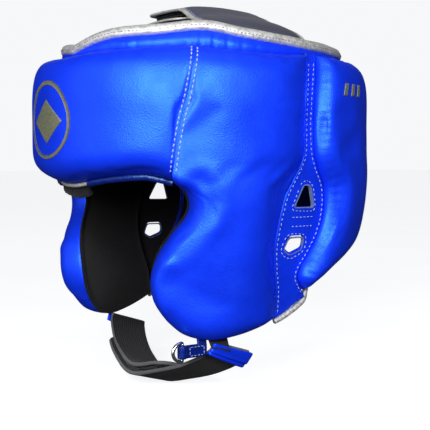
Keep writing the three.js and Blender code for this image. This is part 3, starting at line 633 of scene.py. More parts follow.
def pad_surface(outline, across, up, seams, thickness):
    """A pad's two faces. Seams gives the section of the edges that aren't simply round."""
    place = patch(outline, across, up)
    s, h = place[..., 0], place[..., 1]
    base = head_point(s, h)
    away = head_normal(s, h)
    rises, distances = [], {}
    for name in ("bottom", "top", "left", "right"):
        d = distance_to(head_point(outline[name][::2, 0], outline[name][::2, 1]), base)
        distances[name] = d
        kept, reach, power = seams.get(name, ROUND)
        t = np.clip(d / reach, 0, 1)
        rise = (1 - (1 - t) ** power) ** (1 / power)
        if name == "left" and outline is SIDE:
            kept = kept * smoothstep(h, -4, 6)
        rises.append(kept + (1 - kept) * rise)
    soft = 0.04
    rise = -soft * np.log(sum(np.exp(-r / soft) for r in rises))
    rise = np.clip(rise * (1 + soft), 0, 1)
    edge = np.zeros(rise.shape, bool)
    edge[0] = edge[-1] = edge[:, 0] = edge[:, -1] = True
    outer = base + away * (PAD_BASE + np.where(edge, 0, thickness * rise))[..., None]
    nearest = np.min(list(distances.values()), axis=0)
    inner = base + away * (0.15 + (PAD_BASE - 0.15) * np.clip(1 - nearest / 6, 0, 1) ** 2)[..., None]
    inner[edge] = outer[edge]
    return s, h, outer, inner, distances


# The leather as cloth. A shrink factor below 0 makes it larger than its pattern, by that share.
CLOTH = {
    "quality": 6, "mass": 0.35, "tension_stiffness": 35, "compression_stiffness": 35, "shear_stiffness": 18,
    "bending_stiffness": 3, "air_damping": 4, "use_pressure": True, "uniform_pressure_force": 4,
    "vertex_group_mass": "held", "shrink_min": -0.01,
}
CLOTH_FRAMES, CLOTH_CAP = 20, 3.0      # steps of the simulation, and the furthest that a point may move


def inflate(outer, inner):
    """How each point of a pad's skin moves when the pad is blown up as cloth with its sewn edge held."""
    rows, columns = outer.shape[:2]
    count = rows * columns
    edge = [int(r * columns + c) for r, c in border(rows, columns)]
    sewn = set(edge)
    back = [k for k in range(count) if k not in sewn]
    # Both skins share their sewn edge, because two points in one place would make a spring of no length.
    behind = {k: k for k in edge} | {k: count + i for i, k in enumerate(back)}
    skin = [list(map(int, f)) for f in grid_faces(rows, columns)]
    mesh = bpy.data.meshes.new("swell")
    points = np.vstack([outer.reshape(-1, 3), inner.reshape(-1, 3)[back]]) * MM
    mesh.from_pydata(points.tolist(), [], skin + [[behind[k] for k in f[::-1]] for f in skin])
    obj = bpy.data.objects.new("swell", mesh)
    scene.collection.objects.link(obj)
    held = obj.vertex_groups.new(name="held")
    held.add(edge + list(range(count, len(points))), 1.0, "REPLACE")
    cloth = obj.modifiers.new("cloth", "CLOTH")
    for key, value in CLOTH.items():
        setattr(cloth.settings, key, value)
    cloth.settings.effector_weights.gravity = 0
    cloth.collision_settings.use_collision = False
    cloth.collision_settings.use_self_collision = False
    for f in range(1, CLOTH_FRAMES + 1):
        scene.frame_set(f)
    swollen = obj.evaluated_get(bpy.context.evaluated_depsgraph_get()).to_mesh()
    now = np.zeros(len(swollen.vertices) * 3)
    swollen.vertices.foreach_get("co", now)
    moved = (now.reshape(-1, 3)[:count] / MM).reshape(rows, columns, 3) - outer
    scene.frame_set(1)
    bpy.data.objects.remove(obj)
    far = np.linalg.norm(moved, axis=-1, keepdims=True)
    return moved * np.minimum(1, CLOTH_CAP / np.maximum(far, 1e-6))


def spread(values, times):
    """Averages a grid with its neighbours, its border held."""
    values = values.copy()
    for _ in range(times):
        values[1:-1, 1:-1] = (values[1:-1, 1:-1] * 2 + values[:-2, 1:-1] + values[2:, 1:-1]
                              + values[1:-1, :-2] + values[1:-1, 2:]) / 6
    return values


def upsample(values):
    rows, columns = values.shape[:2]
    r = np.linspace(0, rows - 1, (rows - 1) * SPLIT + 1)
    c = np.linspace(0, columns - 1, (columns - 1) * SPLIT + 1)
    tall = np.stack([[np.interp(r, np.arange(rows), values[:, j, k]) for j in range(columns)]
                     for k in range(3)], axis=-1).transpose(1, 0, 2)
    return np.stack([[np.interp(c, np.arange(columns), tall[i, :, k]) for i in range(len(r))]
                     for k in range(3)], axis=-1)


def puckers(points, distance, line, wave, depth, reach, seed):
    """Small gathers that run in from a sewn edge and die out."""
    run = nearest(line, points)[1]
    shift = noise(np.stack([run, 0 * run, 0 * run], axis=-1), wave * 2.3, seed) * wave * 0.55
    strength = 0.55 + 0.45 * noise(np.stack([run, 0 * run + 9, 0 * run], axis=-1), wave * 4, seed + 5)
    fold = np.sin((run + shift) * 2 * math.pi / wave)
    return (fold - 0.4) * depth * strength * np.exp(-(distance / reach) ** 1.5) * np.clip(distance / 0.8, 0, 1)


def crease(points, line, depth, width, lip=0.35):
    """A fold line pressed into leather, with a slight lip on both sides."""
    d = distance_to(line, points)
    return -depth * np.exp(-(d / width) ** 2) + depth * lip * np.exp(-((d - width * 2.1) / width) ** 2)


def on_line(points, count=60):
    line = spline(points, count)
    return head_point(line[:, 0], line[:, 1])


def make_pad(name, outline, width, length, seams, gathers, folds=()):
    """A pad of cover and lining. It starts a little thin, because the simulation makes it swell."""
    thickness = PAD_THICKNESS - 1.0
    across, up = pad_lines(width), pad_lines(length)
    _, _, outer, inner, _ = pad_surface(outline, across, up, seams, thickness)
    moved = inflate(outer, inner)
    across, up = finer(across), finer(up)
    s, h, outer, inner, distance = pad_surface(outline, across, up, seams, thickness)
    base = head_point(s, h)
    held = np.clip(np.min(list(distance.values()), axis=0) / 2.5, 0, 1)[..., None]
    outer = outer + spread(upsample(moved), 6) * held
    push = 0.45 * noise(base, 30, 3) + 0.13 * noise(base, 9, 4)
    for edge, wave, depth, reach in gathers:
        line = head_point(outline[edge][::3, 0], outline[edge][::3, 1])
        push = push + puckers(base, distance[edge], line, wave, depth, reach, len(edge))
    for line, depth, fold_width in folds:
        push = push + crease(base, on_line(line), depth, fold_width)
    rows, columns = outer.shape[:2]
    normal = unit(np.cross(np.gradient(outer, axis=1), np.gradient(outer, axis=0)))
    outer[1:-1, 1:-1] += (normal * (push * held[..., 0])[..., None])[1:-1, 1:-1]
    points = np.vstack([outer.reshape(-1, 3), inner.reshape(-1, 3)])
    count = rows * columns
    inner_of = np.arange(count) + count
    for r, c in border(rows, columns):
        inner_of[r * columns + c] = r * columns + c
    faces = grid_faces(rows, columns)
    back = inner_of[faces][:, ::-1]
    if name.startswith("right"):
        points = points * [-1, 1, 1]
        faces, back = faces[:, ::-1], back[:, ::-1]
    used = np.unique(np.concatenate([faces.ravel(), back.ravel()]))
    renumber = np.zeros(2 * count, int)
    renumber[used] = np.arange(len(used))
    slots = np.concatenate([np.zeros(len(faces), int), np.ones(len(back), int)])
    pad = make(name, points[used], renumber[np.vstack([faces, back])], [BLUE, LINING], slots)
    cad = name.removesuffix("_pad")
    return stands_for(pad, "blue_leather", f"{cad}_cover", f"{cad}_foam", f"{cad}_liner")


EYE_CREASE = [[-33, 4], [-30.5, -5], [-31.5, -14], [-36, -24], [-42, -33]]
# Gathers: the edge, and the spacing, depth and reach of its puckers. Folds: a line, its depth and its width.
TOP_GATHER = ("top", 9, 0.35, 6)
SIDE_PAD = (SIDE, 68, 160, {"left": TEMPLE, "right": CHANNEL_FRONT}, [TOP_GATHER, ("right", 6, 0.18, 4)],
            [(EYE_CREASE, 0.9, 3.4)])
REAR_PAD = (REAR, 97, 124, {"left": CHANNEL_BACK}, [TOP_GATHER, ("left", 4.2, 0.35, 4.5)])
front_pad = make_pad("front_pad", FRONT, 175, 72, {"left": TEMPLE, "right": TEMPLE}, [TOP_GATHER])
side_pads = [make_pad(f"{side}_side_pad", *SIDE_PAD) for side in SIDES]
rear_pads = [make_pad(f"{side}_rear_pad", *REAR_PAD) for side in SIDES]

# ---- ear panels ---------------------------------------------------------------------------------------------

def grid_between(outline, columns, rows):
    return patch(outline, np.linspace(0, 1, columns), np.linspace(0, 1, rows))


UPPER_HOLE = [[9.7, 0.3], [15.2, -0.3], [18.2, -12.5], [2.2, -12.3]]
LOWER_HOLE = [[0.2, -28.8], [11.5, -28.8], [11, -35.5], [1.7, -38.8], [-3.2, -35.5]]


def rounded(corners, radius=2.2, count=7):
    """The outline of a polygon with its corners rounded."""
    out = []
    corners = np.array(corners, float)
    for i, corner in enumerate(corners):
        before, after = corners[i - 1] - corner, corners[(i + 1) % len(corners)] - corner
        a, b = corner + unit(before) * radius, corner + unit(after) * radius
        for t in np.linspace(0, 1, count):
            out.append((1 - t) ** 2 * a + 2 * t * (1 - t) * corner + t * t * b)
    return np.array(out)


def ear_place(y, z, stand):
    """The station and point on the ear panel's face that lie at (y, z), seen along x."""
    station = np.zeros(np.shape(y))
    for _ in range(12):
        p = on_head(station, z, np.full(np.shape(y), stand))
        station = station + (y - p[..., 1]) * 0.7
    return station, on_head(station, z, np.full(np.shape(y), stand))


def cut_hole(panel, line, sign):
    """Cuts a hole with the given (y, z) outline through one side's ear panel."""
    count = len(line)
    points = [[x * sign, y, z] for x in (40, 120) for y, z in line]
    faces = [list(range(count))[::-1], [count + i for i in range(count)]]
    faces += [[i, (i + 1) % count, count + (i + 1) % count, count + i] for i in range(count)]
    if sign > 0:
        faces = [f[::-1] for f in faces]
    mesh = bpy.data.meshes.new("cutter")
    mesh.from_pydata((np.array(points) * MM).tolist(), [], faces)
    cutter = bpy.data.objects.new("cutter", mesh)
    scene.collection.objects.link(cutter)
    cut = panel.modifiers.new("hole", "BOOLEAN")
    cut.object, cut.operation, cut.solver = cutter, "DIFFERENCE", "EXACT"
    bpy.context.view_layer.update()
    done = bpy.data.meshes.new_from_object(panel.evaluated_get(bpy.context.evaluated_depsgraph_get()))
    panel.modifiers.clear()
    old, panel.data = panel.data, done
    bpy.data.meshes.remove(old)
    bpy.data.objects.remove(cutter)


def lay_side(tree, stations, heights, sign, lift=0.1):
    """lay() on the ear panel of the wearer's left (sign 1) or right (sign -1)."""
    stations = np.asarray(stations, float)
    if sign < 0:
        stations = 180 - stations
    return lay(tree, stations, np.asarray(heights, float), lift, EAR_FACE)


def ear_panel(side):
    sign = 1 if side == "left" else -1
    place = grid_between(EAR, 26, 150)
    s, h = place[..., 0], place[..., 1]
    left, right = (head_point(EAR[k][::3, 0], EAR[k][::3, 1]) for k in ("left", "right"))
    base = head_point(s, h)
    d_left, d_right = distance_to(left, base), distance_to(right, base)
    near = np.minimum(d_left, d_right)
    sag = -0.6 * (1 - np.exp(-near / 3)) + 0.25 * noise(base, 12, 11)
    sag = sag + puckers(base, d_right, right, 5, 0.3, 3, 21) + puckers(base, d_left, left, 6, 0.25, 3, 22)
    outer = on_head(s, h, EAR_FACE + sag)
    inner = on_head(s, h, EAR_STAND + sag * 0.5)
    points, faces, _ = slab(outer, inner)
    front = outer.shape[0] * outer.shape[1]
    slots = [1 if min(f) >= front else 0 for f in faces]
    if sign < 0:
        faces = [f[::-1] for f in faces]
    panel = make(f"{side}_ear_leather", points * [sign, 1, 1], faces, [BLUE, LINING], slots)
    for number, corners in enumerate((UPPER_HOLE, LOWER_HOLE)):
        line = rounded(corners)
        cut_hole(panel, line, sign)
        y, z = line[:, 0], line[:, 1]
        _, path = ear_place(y, z, EAR_STAND + LEATHER / 2 - 0.3)
        station, _ = ear_place(y, z, EAR_STAND)
        path, out = path * [sign, 1, 1], head_normal(station, z) * [sign, 1, 1]
        swell = 1 + 0.12 * noise(path[:, None] + np.zeros((1, 8, 1)), 2.5, 5 + number)
        tube(f"{side}_ear_hole_edge_{number + 1}", path, out, 0.8, 2.5, [CUT_EDGE], closed=True, sides=8,
             wave=swell, power=3)
    bpy.context.view_layer.update()
    tree = surface_of(panel)
    runs = []
    for corners in (UPPER_HOLE, LOWER_HOLE):
        centre = np.mean(corners, axis=0)
        line = rounded(corners, 3.0, 9)
        line = line + unit(line - centre) * 2.4
        station, _ = ear_place(line[:, 0], line[:, 1], EAR_FACE)
        where, normals = lay_side(tree, station, line[:, 1], sign)
        runs.append((np.vstack([where, where[:1]]), np.vstack([normals, normals[:1]])))
    for z in (-17.5, -22.5):
        y = np.linspace(0.5, 20.5, 24)
        station, _ = ear_place(y, np.full(24, z), EAR_FACE)
        runs.append(lay_side(tree, station, np.full(24, z), sign))
    for edge, shift in (("left", 0.9), ("right", -1.0)):
        line = EAR[edge][np.linspace(6, 390, 160).astype(int)]
        runs.append(lay_side(tree, line[:, 0] + shift, line[:, 1], sign))
    stitches(f"{side}_ear_stitches", runs, PALE_THREAD, pitch=2.9, length=1.9, thick=0.6)
    return stands_for(panel, "blue_leather", f"{side}_ear_panel")


ear_panels = [ear_panel(side) for side in SIDES]

# ---- rim: puckered flange and silver trim ---------------------------------------------------------------------

def around_head(points):
    samples = spline(points, 200)

    def height(station):
        station = np.asarray(station, float)
        left = np.where(station < -90, -180 - station, np.where(station > 90, 180 - station, station))
        return np.interp(left, samples[:, 0], samples[:, 1])
    return height


pad_top = around_head([*TOP_LINE, [90, 72.4]])
rim_height = around_head([[-90, 79.6], [-70, 85], [-50, 86.2], [-31, 89], [-16, 85.6], [8, 82.6], [30, 81.3],
                          [60, 80.8], [90, 80.5]])
AROUND = np.linspace(-90, 270, 900, endpoint=False)


def rim_top(station):
    """The rim's height. The soft rim sags a little at the wearer's right temple."""
    turn = (np.asarray(station, float) + 270) % 360 - 180
    right = (np.abs((np.asarray(station, float) + 118 + 180) % 360 - 180) / 24) ** 2
    return rim_height(turn - 90) - 4.5 * np.exp(-right)


def rim_distance(height):
    loop = on_head(AROUND, height(AROUND), RIM_STAND)
    step = np.linalg.norm(np.roll(loop, -1, axis=0) - loop, axis=1)
    return np.concatenate([[0], np.cumsum(step)[:-1]]), step.sum()


def ring_sheet(name, section, material, slot, node):
    """A closed loop of leather round the head. The section holds (height, stand) for each point."""
    points = np.stack([on_head(AROUND, h, s) for h, s in section], axis=1)
    rows, columns = points.shape[:2]
    faces = []
    for i in range(rows):
        for k in range(columns):
            a, b = i * columns + k, i * columns + (k + 1) % columns
            c, d = ((i + 1) % rows) * columns + k, ((i + 1) % rows) * columns + (k + 1) % columns
            faces.append([a, c, d, b])
    return stands_for(make(name, points.reshape(-1, 3), faces, [material]), slot, node)


def flange_section():
    run, total = rim_distance(pad_top)
    low, high = pad_top(AROUND) - 1.6, rim_top(AROUND) - RIM_TRIM_HEIGHT + 1.0
    turns = round(total / 8.5)
    along_rim = np.stack([run, 0 * run, 0 * run], axis=-1)
    phase = run / total * 2 * math.pi * turns + 4.5 * noise(along_rim, 24, 31)
    gather = (np.sin(phase) + 0.4 * np.sin(2 * phase + 1.3)) * (0.45 + 0.55 * np.clip(noise(along_rim, 30, 32), -1, 1))
    profile = []
    shares = np.linspace(0, 1, 11)
    for t in shares:
        swell = math.sin(math.pi * min(1, t * 1.12)) ** 0.6 if t < 0.89 else 0.3
        pleat = gather * (0.5 * math.exp(-t * 3.0) + 0.15 * t) + 0.35 * noise(
            np.stack([run, 0 * run + t * 6, 0 * run], axis=-1), 8, 33)
        profile.append((low + (high - low) * t, RIM_STAND - 2.2 * (1 - t) + 2.6 * swell + pleat))
    for t in shares[::-1]:
        profile.append((low + (high - low) * t, RIM_STAND - 2.6 * (1 - t) - 0.4 + 0 * run))
    return profile


def trim_section():
    run, _ = rim_distance(rim_top)
    top = rim_top(AROUND)
    line = np.stack([run, 0 * run, 0 * run], axis=-1)
    profile = []
    for k, (down, stand) in enumerate([(RIM_TRIM_HEIGHT, 2.3), (4.4, 3.1), (2.9, 3.3), (1.5, 3.0), (0.5, 2.1),
                                       (0.0, 0.9), (0.6, -0.3), (1.8, -0.9), (3.6, -1.0), (RIM_TRIM_HEIGHT, -0.9),
                                       (RIM_TRIM_HEIGHT + 0.1, 0.6)]):
        crinkle = 0.05 * noise(line + [0, k * 1.7, 0], 3.1, 41) + 0.10 * noise(line + [0, k * 1.7, 0], 9, 43)
        drop = 0.25 * noise(line, 16, 44)
        profile.append((top - down + drop, RIM_STAND + stand + crinkle))
    return profile


flange = ring_sheet("puckered_flange", flange_section(), BLUE, "blue_leather", "top_flange")
trim = ring_sheet("silver_trim", trim_section(), SILVER, "silver_binding", "top_trim")
rim_tree = surface_of(trim)
rim_stations = np.linspace(-90, 270, 720)
stitches("trim_stitches", [lay(rim_tree, rim_stations, rim_top(rim_stations) - 3.9, 0.05, RIM_STAND + 3)],
         GREY_THREAD, pitch=2.2, length=1.3, thick=0.5)

# ---- stitched seams on the pads -----------------------------------------------------------------------------------

PADS = {"front": surface_of(front_pad)}
for side, *pads in zip(SIDES, side_pads, rear_pads):
    PADS[side] = surface_of(*pads)


def mirrored(stations):
    """The same stations on the other side of the head."""
    return (-180 if np.mean(stations) < 0 else 180) - stations


def seam_run(pads, shift, low, high, mirror):
    """Points and normals just above the temple seam on some pads, from one share of its length to another."""
    p = at(TEMPLE_LINE, np.linspace(low, high, 110))
    stations = p[:, 0] + shift
    return lay(PADS[pads], mirrored(stations) if mirror else stations, p[:, 1], 0.12)


TEMPLE_LINE = spline(TEMPLE_SEAM)
for side, mirror in (("left", False), ("right", True)):
    runs = [seam_run(side, 1.0, 0.05, 0.97, mirror), seam_run("front", -0.9, 0.05, 0.97, mirror)]
    stitches(f"{side}_temple_stitches", runs, PALE_THREAD, pitch=3.0, length=2.2, thick=0.95)
    near, out = seam_run(side, 0.8, 0.04, 0.985, mirror)
    far, _ = seam_run("front", -0.8, 0.04, 0.985, mirror)
    tube(f"{side}_temple_welt", (near + far) / 2 - out * 1.5, out, 2.4, 2.4, [BLUE])

# ---- bindings -----------------------------------------------------------------------------------------------

def edge_binding(name, line, drop, width, thick, stand, material, mirror=False, low=0.0, high=1.0, count=170, seed=3,
                 raised=0.0):
    p = at(line, np.linspace(low, high, count))
    stand = stand + raised * smoothstep(p[:, 0], 21, 12)
    stations, heights = mirrored(p[:, 0]) if mirror else p[:, 0], p[:, 1] - drop
    path, out = on_head(stations, heights, stand), head_normal(stations, heights)
    swell = 1 + 0.10 * noise(path[:, None] + np.arange(12)[None, :, None] * 0.7, 2.6, seed)
    return tube(name, path, out, width, thick, [material], sides=12, wave=swell, power=2.8)


# The brow rolls take the darker copy of the blue leather: painted shade under the brow.
for side, low, high in (("left", 0.62, 1.0), ("right", 0.0, 0.38)):
    roll = edge_binding(f"{side}_brow_roll", FRONT["bottom"], 1.5, 4.2, 4.6, 3.0, SHADED_BLUE, low=low, high=high, seed=4)
brow_binding = edge_binding("brow_silver_binding", FRONT["bottom"], 1.5, 2.4, 3.6, 2.4, SILVER, seed=5)
stands_for(brow_binding, "silver_binding", "brow_binding")
LOWER_LINE = spline([[-1.8, -76], [13, -65], *REAR_BOTTOM[1:]])
for side, mirror in (("left", False), ("right", True)):
    rim = edge_binding(f"{side}_lower_silver_binding", LOWER_LINE, 1.6, 3.2, 3.2, 2.6, SILVER, mirror, seed=6,
                       raised=5.4)
    stands_for(rim, "silver_binding", f"{side}_lower_binding")
    cheek = spline(CHEEK_FRONT[:9])
    edge_binding(f"{side}_cheek_lining_edge", cheek, 0, 1.5, 1.2, 0.9, LINING, mirror, 0.0, 0.95, seed=8)

# The black lining shows as a soft lip under the brow, inside the binding.
lip = edge_binding("brow_lining_lip", FRONT["bottom"], 4.6, 8.0, 2.6, 0.2, LINING, low=0.18, high=0.60, seed=9)

# ---- rear gusset and closure strap ------------------------------------------------------------------------------

def band_grid(low_station, high_station, low, high, columns, rows):
    s, h = np.meshgrid(np.linspace(low_station, high_station, columns), np.linspace(low, high, rows))
    return s, h


GUSSET_STATION = REAR_GAP_STATION + 0.8
s, h = band_grid(GUSSET_STATION, 180 - GUSSET_STATION, -25, 72, 40, 90)
across_gusset = np.clip(np.minimum(s - GUSSET_STATION, 180 - GUSSET_STATION - s) / 6, 0, 1)
soft_folds = 0.5 * np.sin(h / 5.5 + 0.9 * np.sin(s / 3)) * across_gusset + 0.3 * noise(head_point(s, h), 9, 51)
# The gusset takes the darker copy of the blue leather: painted shade in the gap between the rear pads.
gusset = slab_piece("rear_gusset_leather", on_head(s, h, LEATHER + 0.4 + soft_folds),
                    on_head(s, h, 0.3 + soft_folds * 0.6), SHADED_BLUE, "blue_leather", "rear_gusset")

STRAP_LOW, STRAP_HIGH = 8, 52
REAR_ROOT, REAR_HINGE, REAR_END = 66, 76, 121
PAD_FACE = PAD_BASE + PAD_THICKNESS
PATCH, PATCH_GAP = 1.0, 0.35
LOOP_STAND = PAD_FACE + PATCH_GAP
HOOK_STAND = LOOP_STAND + PATCH + PATCH_GAP
STRAP_STAND = HOOK_STAND + PATCH + PATCH_GAP


def tongue(s, h, end, low, high, radius=9):
    """Pulls a band's far corners in, so that its end is rounded."""
    middle = (low + high) / 2
    run = np.clip((s - (end - radius)) / radius, 0, 1)
    return middle + (h - middle) * (1 - 0.32 * run ** 2.4)


s, h = band_grid(REAR_ROOT, REAR_END, STRAP_LOW, STRAP_HIGH, 90, 34)
h = tongue(s, h, REAR_END, STRAP_LOW, STRAP_HIGH)
rim_d = np.minimum(np.minimum(s - REAR_ROOT, REAR_END - s) * 1.5, np.minimum(h - STRAP_LOW, STRAP_HIGH - h))
puff = 0.55 * np.clip(rim_d / 4, 0, 1) ** 0.5 - 0.45 * np.exp(-((rim_d - 2.2) / 0.7) ** 2)
puff = puff + 0.22 * noise(head_point(s, h), 11, 61)
strap_stand = LOOP_STAND + (STRAP_STAND - LOOP_STAND) * smoothstep(s, REAR_HINGE, 101)
rear_strap = slab_piece("rear_closure_strap", on_head(s, h, strap_stand + LEATHER + puff),
                        on_head(s, h, strap_stand + 0.1), BLUE, "blue_leather", "rear_strap", "rear_strap_root")
strap_tree = surface_of(rear_strap)
BOX_STITCH = {"pitch": 3.1, "length": 2.1, "thick": 0.6}


def frame_run(low_station, high_station, low, high, count=40):
    """A closed rectangle of (station, height), for box stitching."""
    a = np.linspace(0, 1, count)
    s = np.concatenate([low_station + (high_station - low_station) * a, np.full(count, high_station),
                        high_station - (high_station - low_station) * a, np.full(count, low_station)])
    h = np.concatenate([np.full(count, low), low + (high - low) * a, np.full(count, high), high - (high - low) * a])
    return s, h


rear_runs = []
for box in ((67.2, 74.8, STRAP_LOW + 2, STRAP_HIGH - 2), (67.9, 74.1, STRAP_LOW + 3.4, STRAP_HIGH - 3.4)):
    rear_runs.append(lay(strap_tree, *frame_run(*box), 0.1))
stitches("rear_strap_root_stitches", rear_runs, PALE_THREAD, **BOX_STITCH)
edge_runs = []
for height in (STRAP_LOW + 2, STRAP_HIGH - 2):
    line = np.linspace(79, 115, 90)
    edge_runs.append(lay(strap_tree, line, np.full(90, float(height)), 0.1))
edge_runs.append(lay(strap_tree, *frame_run(105.5, 118.5, 15, 45), 0.1))
stitches("rear_strap_stitches", edge_runs, PALE_THREAD, **BOX_STITCH)


def tape_patch(name, node, place, stands=None, tree=None):
    """A thin patch of tape over a grid of (station, height), between two stands or laid on a surface."""
    s, h = place
    if tree is None:
        outer, inner = on_head(s, h, stands[1] + 0.1 * noise(head_point(s, h), 2.2, 71)), on_head(s, h, stands[0])
    else:
        ground, normals = lay(tree, s, h, 0.0)
        outer, inner = ground + normals * (1.1 + 0.1 * noise(ground, 2.2, 72))[..., None], ground + normals * 0.05
    slab_piece(name, outer, inner, TAPE, "hook_and_loop", node)


tape_patch("rear_strap_hook_tape", "rear_strap_hook", band_grid(105, 120, 15, 45, 40, 44),
           stands=(HOOK_STAND, HOOK_STAND + PATCH))
tape_patch("rear_strap_loop_tape", "rear_strap_loop", band_grid(105, 127, 10, 50, 60, 60), tree=PADS["right"])

# ---- crown wings -------------------------------------------------------------------------------------------------

CROWN_TOP, CROWN_ROUNDNESS, FOLD_X, OVERLAP_X = 100, 2.25, 44, 21
WING_FOOT_STAND, WING_FOOT_DEPTH, WING_FOOT_X = RIM_STAND - 3.6, 4, 58
WING_RIM_FRONT, WING_RIM_BACK, WING_TIP_FRONT, WING_TIP_BACK, WING_THICKNESS = -46, 24, -36, 16, 2


def wing_foot(y):
    low, high = np.full(np.shape(y), -80.0), np.full(np.shape(y), 80.0)
    for _ in range(30):
        middle = (low + high) / 2
        before = on_head(middle, rim_top(middle), np.full(np.shape(y), WING_FOOT_STAND))[..., 1] < y
        low, high = np.where(before, middle, low), np.where(before, high, middle)
    foot = on_head(low, rim_top(low), np.full(np.shape(y), WING_FOOT_STAND))
    foot[..., 2] = rim_top(low) - WING_FOOT_DEPTH
    return foot


FOOT_Y = np.linspace(-60, 40, 200)
FOOT = wing_foot(FOOT_Y)


def crown_point(angle, y):
    foot_x, foot_z = np.interp(y, FOOT_Y, FOOT[:, 0]), np.interp(y, FOOT_Y, FOOT[:, 2])
    apex = CROWN_TOP - 10 * ((y + 8) / 60) ** 2
    turn = np.radians(angle)
    return np.stack([foot_x * signed_power(np.cos(turn), 2 / CROWN_ROUNDNESS), y,
                     foot_z + (apex - foot_z) * np.clip(np.sin(turn), 0, 1) ** (2 / CROWN_ROUNDNESS)], axis=-1)


def on_crown(angle, y, stand):
    near = np.maximum(angle, 1)
    across = crown_point(near + 1, y) - crown_point(near - 1, y)
    length = crown_point(near, y + 1) - crown_point(near, y - 1)
    return crown_point(angle, y) + unit(np.cross(length, across)) * stand[..., None]


def crown_angle(x, y):
    share = np.minimum(1, np.abs(x) / np.interp(y, FOOT_Y, FOOT[:, 0])) ** (CROWN_ROUNDNESS / 2)
    angle = np.degrees(np.arccos(share))
    return np.where(x < 0, 180 - angle, angle)


UPPER_STAND = WING_THICKNESS + 3 * PATCH_GAP + 2 * PATCH


def wing_grid(from_x, to_x, columns, rows, inset=0.0):
    """x and y over part of the left wing, front edge last."""
    c, r = np.meshgrid(np.linspace(0, 1, columns), np.linspace(0, 1, rows))
    x = from_x + (to_x - from_x) * c
    crossed = np.maximum(0, (WING_FOOT_X - x) / (WING_FOOT_X + OVERLAP_X))
    front = WING_RIM_FRONT + (WING_TIP_FRONT - WING_RIM_FRONT) * np.sin(np.minimum(1, crossed * 1.5) * math.pi / 2)
    back = WING_RIM_BACK + (WING_TIP_BACK - WING_RIM_BACK) * smoothstep(crossed, 0, 1)
    tip = np.clip((14 - (x + OVERLAP_X)) / 14, 0, 1) ** 2.6 * 0.24
    y = back - inset + (front + inset - (back - inset)) * (r * (1 - 2 * tip) + tip)
    angle = crown_angle(x, y)
    foot = x > WING_FOOT_X - 12
    start = crown_angle(np.full(x.shape, WING_FOOT_X - 12.0), y)
    angle = np.where(foot, start * np.clip((WING_FOOT_X - x) / 12, 0, 1), angle)
    return x, y, angle, r


def crown_wing(name, upper):
    x, y, angle, r = wing_grid(WING_FOOT_X, -OVERLAP_X, 110, 60)
    stand = UPPER_STAND * smoothstep(-x, -FOLD_X + 2, -OVERLAP_X) if upper else np.zeros(x.shape)
    side_d = np.minimum(r, 1 - r) * np.abs(np.ptp(y, axis=0))[None, :]
    end_d = x + OVERLAP_X
    rim_d = np.minimum(side_d, end_d)
    place = crown_point(angle, y)
    puff = 0.75 * np.clip((rim_d - 4) / 6, 0, 1) ** 0.5 - 0.5 * np.exp(-((rim_d - 4.2) / 0.8) ** 2)
    waves = 0.45 * noise(place, 18, 81) + 0.10 * noise(place, 8, 82)
    gather = 0.22 * np.sin(y / 2.6 + 2 * noise(place, 14, 83)) * np.clip(1 - (WING_FOOT_X - x) / 10, 0, 1)
    room = smoothstep(x, WING_FOOT_X, WING_FOOT_X - 4)
    body = (puff + waves * 0.6 + gather) * room
    outer = on_crown(angle, y, stand + WING_THICKNESS * 0.75 + body)
    inner = on_crown(angle, y, stand + 0.1 + waves * 0.3 * room)
    points, faces, _ = slab(outer, inner)
    bound = (rim_d < 3.8).reshape(-1)
    slots = []
    grid_size = outer.shape[0] * outer.shape[1]
    for face in faces:
        ids = [f % grid_size for f in face if f < 2 * grid_size]
        is_rim = len(ids) < 4
        slots.append(1 if is_rim or all(bound[i] for i in ids) else (0 if max(face) < grid_size else 2))
    if not upper:
        points = points * [-1, 1, 1]
        faces = [list(f)[::-1] for f in faces]
    wing = make(name, points, faces, [CROWN, SILVER, LINING], slots)
    tree = surface_of(wing)
    inset, low, high = 4.4, 55, -OVERLAP_X + 4.4
    long_x, long_y, _, _ = wing_grid(low, high, 90, 2, inset)
    end_x, end_y, _, _ = wing_grid(high, high - 0.01, 2, 50, inset)
    laid, sign = [], np.array([1 if upper else -1, 1, 1])
    for xs, ys in ((long_x[0], long_y[0]), (long_x[1], long_y[1]), (end_x[:, 0], end_y[:, 0])):
        path, normals = [], []
        for a, b in zip(xs, ys):
            turn = crown_angle(np.array(a), np.array(b))
            up, down = (on_crown(turn, np.array(b), np.array(far)) * sign for far in (9.0, 0.0))
            hit, normal, _, _ = tree.ray_cast(Vector(up * MM), Vector(down - up).normalized(), 0.02)
            if hit is not None:
                path.append(np.array(hit) / MM)
                normals.append(np.array(normal) if np.dot(np.array(normal), up - down) > 0 else -np.array(normal))
        laid.append((path, normals))
    return wing, laid


left_wing, left_runs = crown_wing("left_crown_wing_leather", True)
right_wing, right_runs = crown_wing("right_crown_wing_leather", False)
left_wing_stitches = stitches("left_crown_stitches", left_runs, PALE_THREAD, **BOX_STITCH)
stitches("right_crown_stitches", right_runs, PALE_THREAD, **BOX_STITCH)
stands_for(left_wing, "dark_silver_leather", "left_crown_root", "left_crown_wing")
stands_for(right_wing, "dark_silver_leather", "right_crown_wing")


def crown_tape(name, from_x, to_x, stand, node):
    x, y, angle, _ = wing_grid(from_x, to_x, 40, 40, 4.5)
    rough = 0.1 * noise(crown_point(angle, y), 2.2, 91)
    flat = np.full(x.shape, float(stand))
    slab_piece(name, on_crown(angle, y, flat + PATCH * 0.9 + rough), on_crown(angle, y, flat + 0.05), TAPE,
               "hook_and_loop", node)


crown_tape("crown_hook_tape", 18, -OVERLAP_X + 2, WING_THICKNESS + 2 * PATCH_GAP + PATCH, "crown_hook")
crown_tape("crown_loop_tape", 20, -OVERLAP_X + 1, WING_THICKNESS + PATCH_GAP, "crown_loop")

# ---- chin strap -------------------------------------------------------------------------------------------------

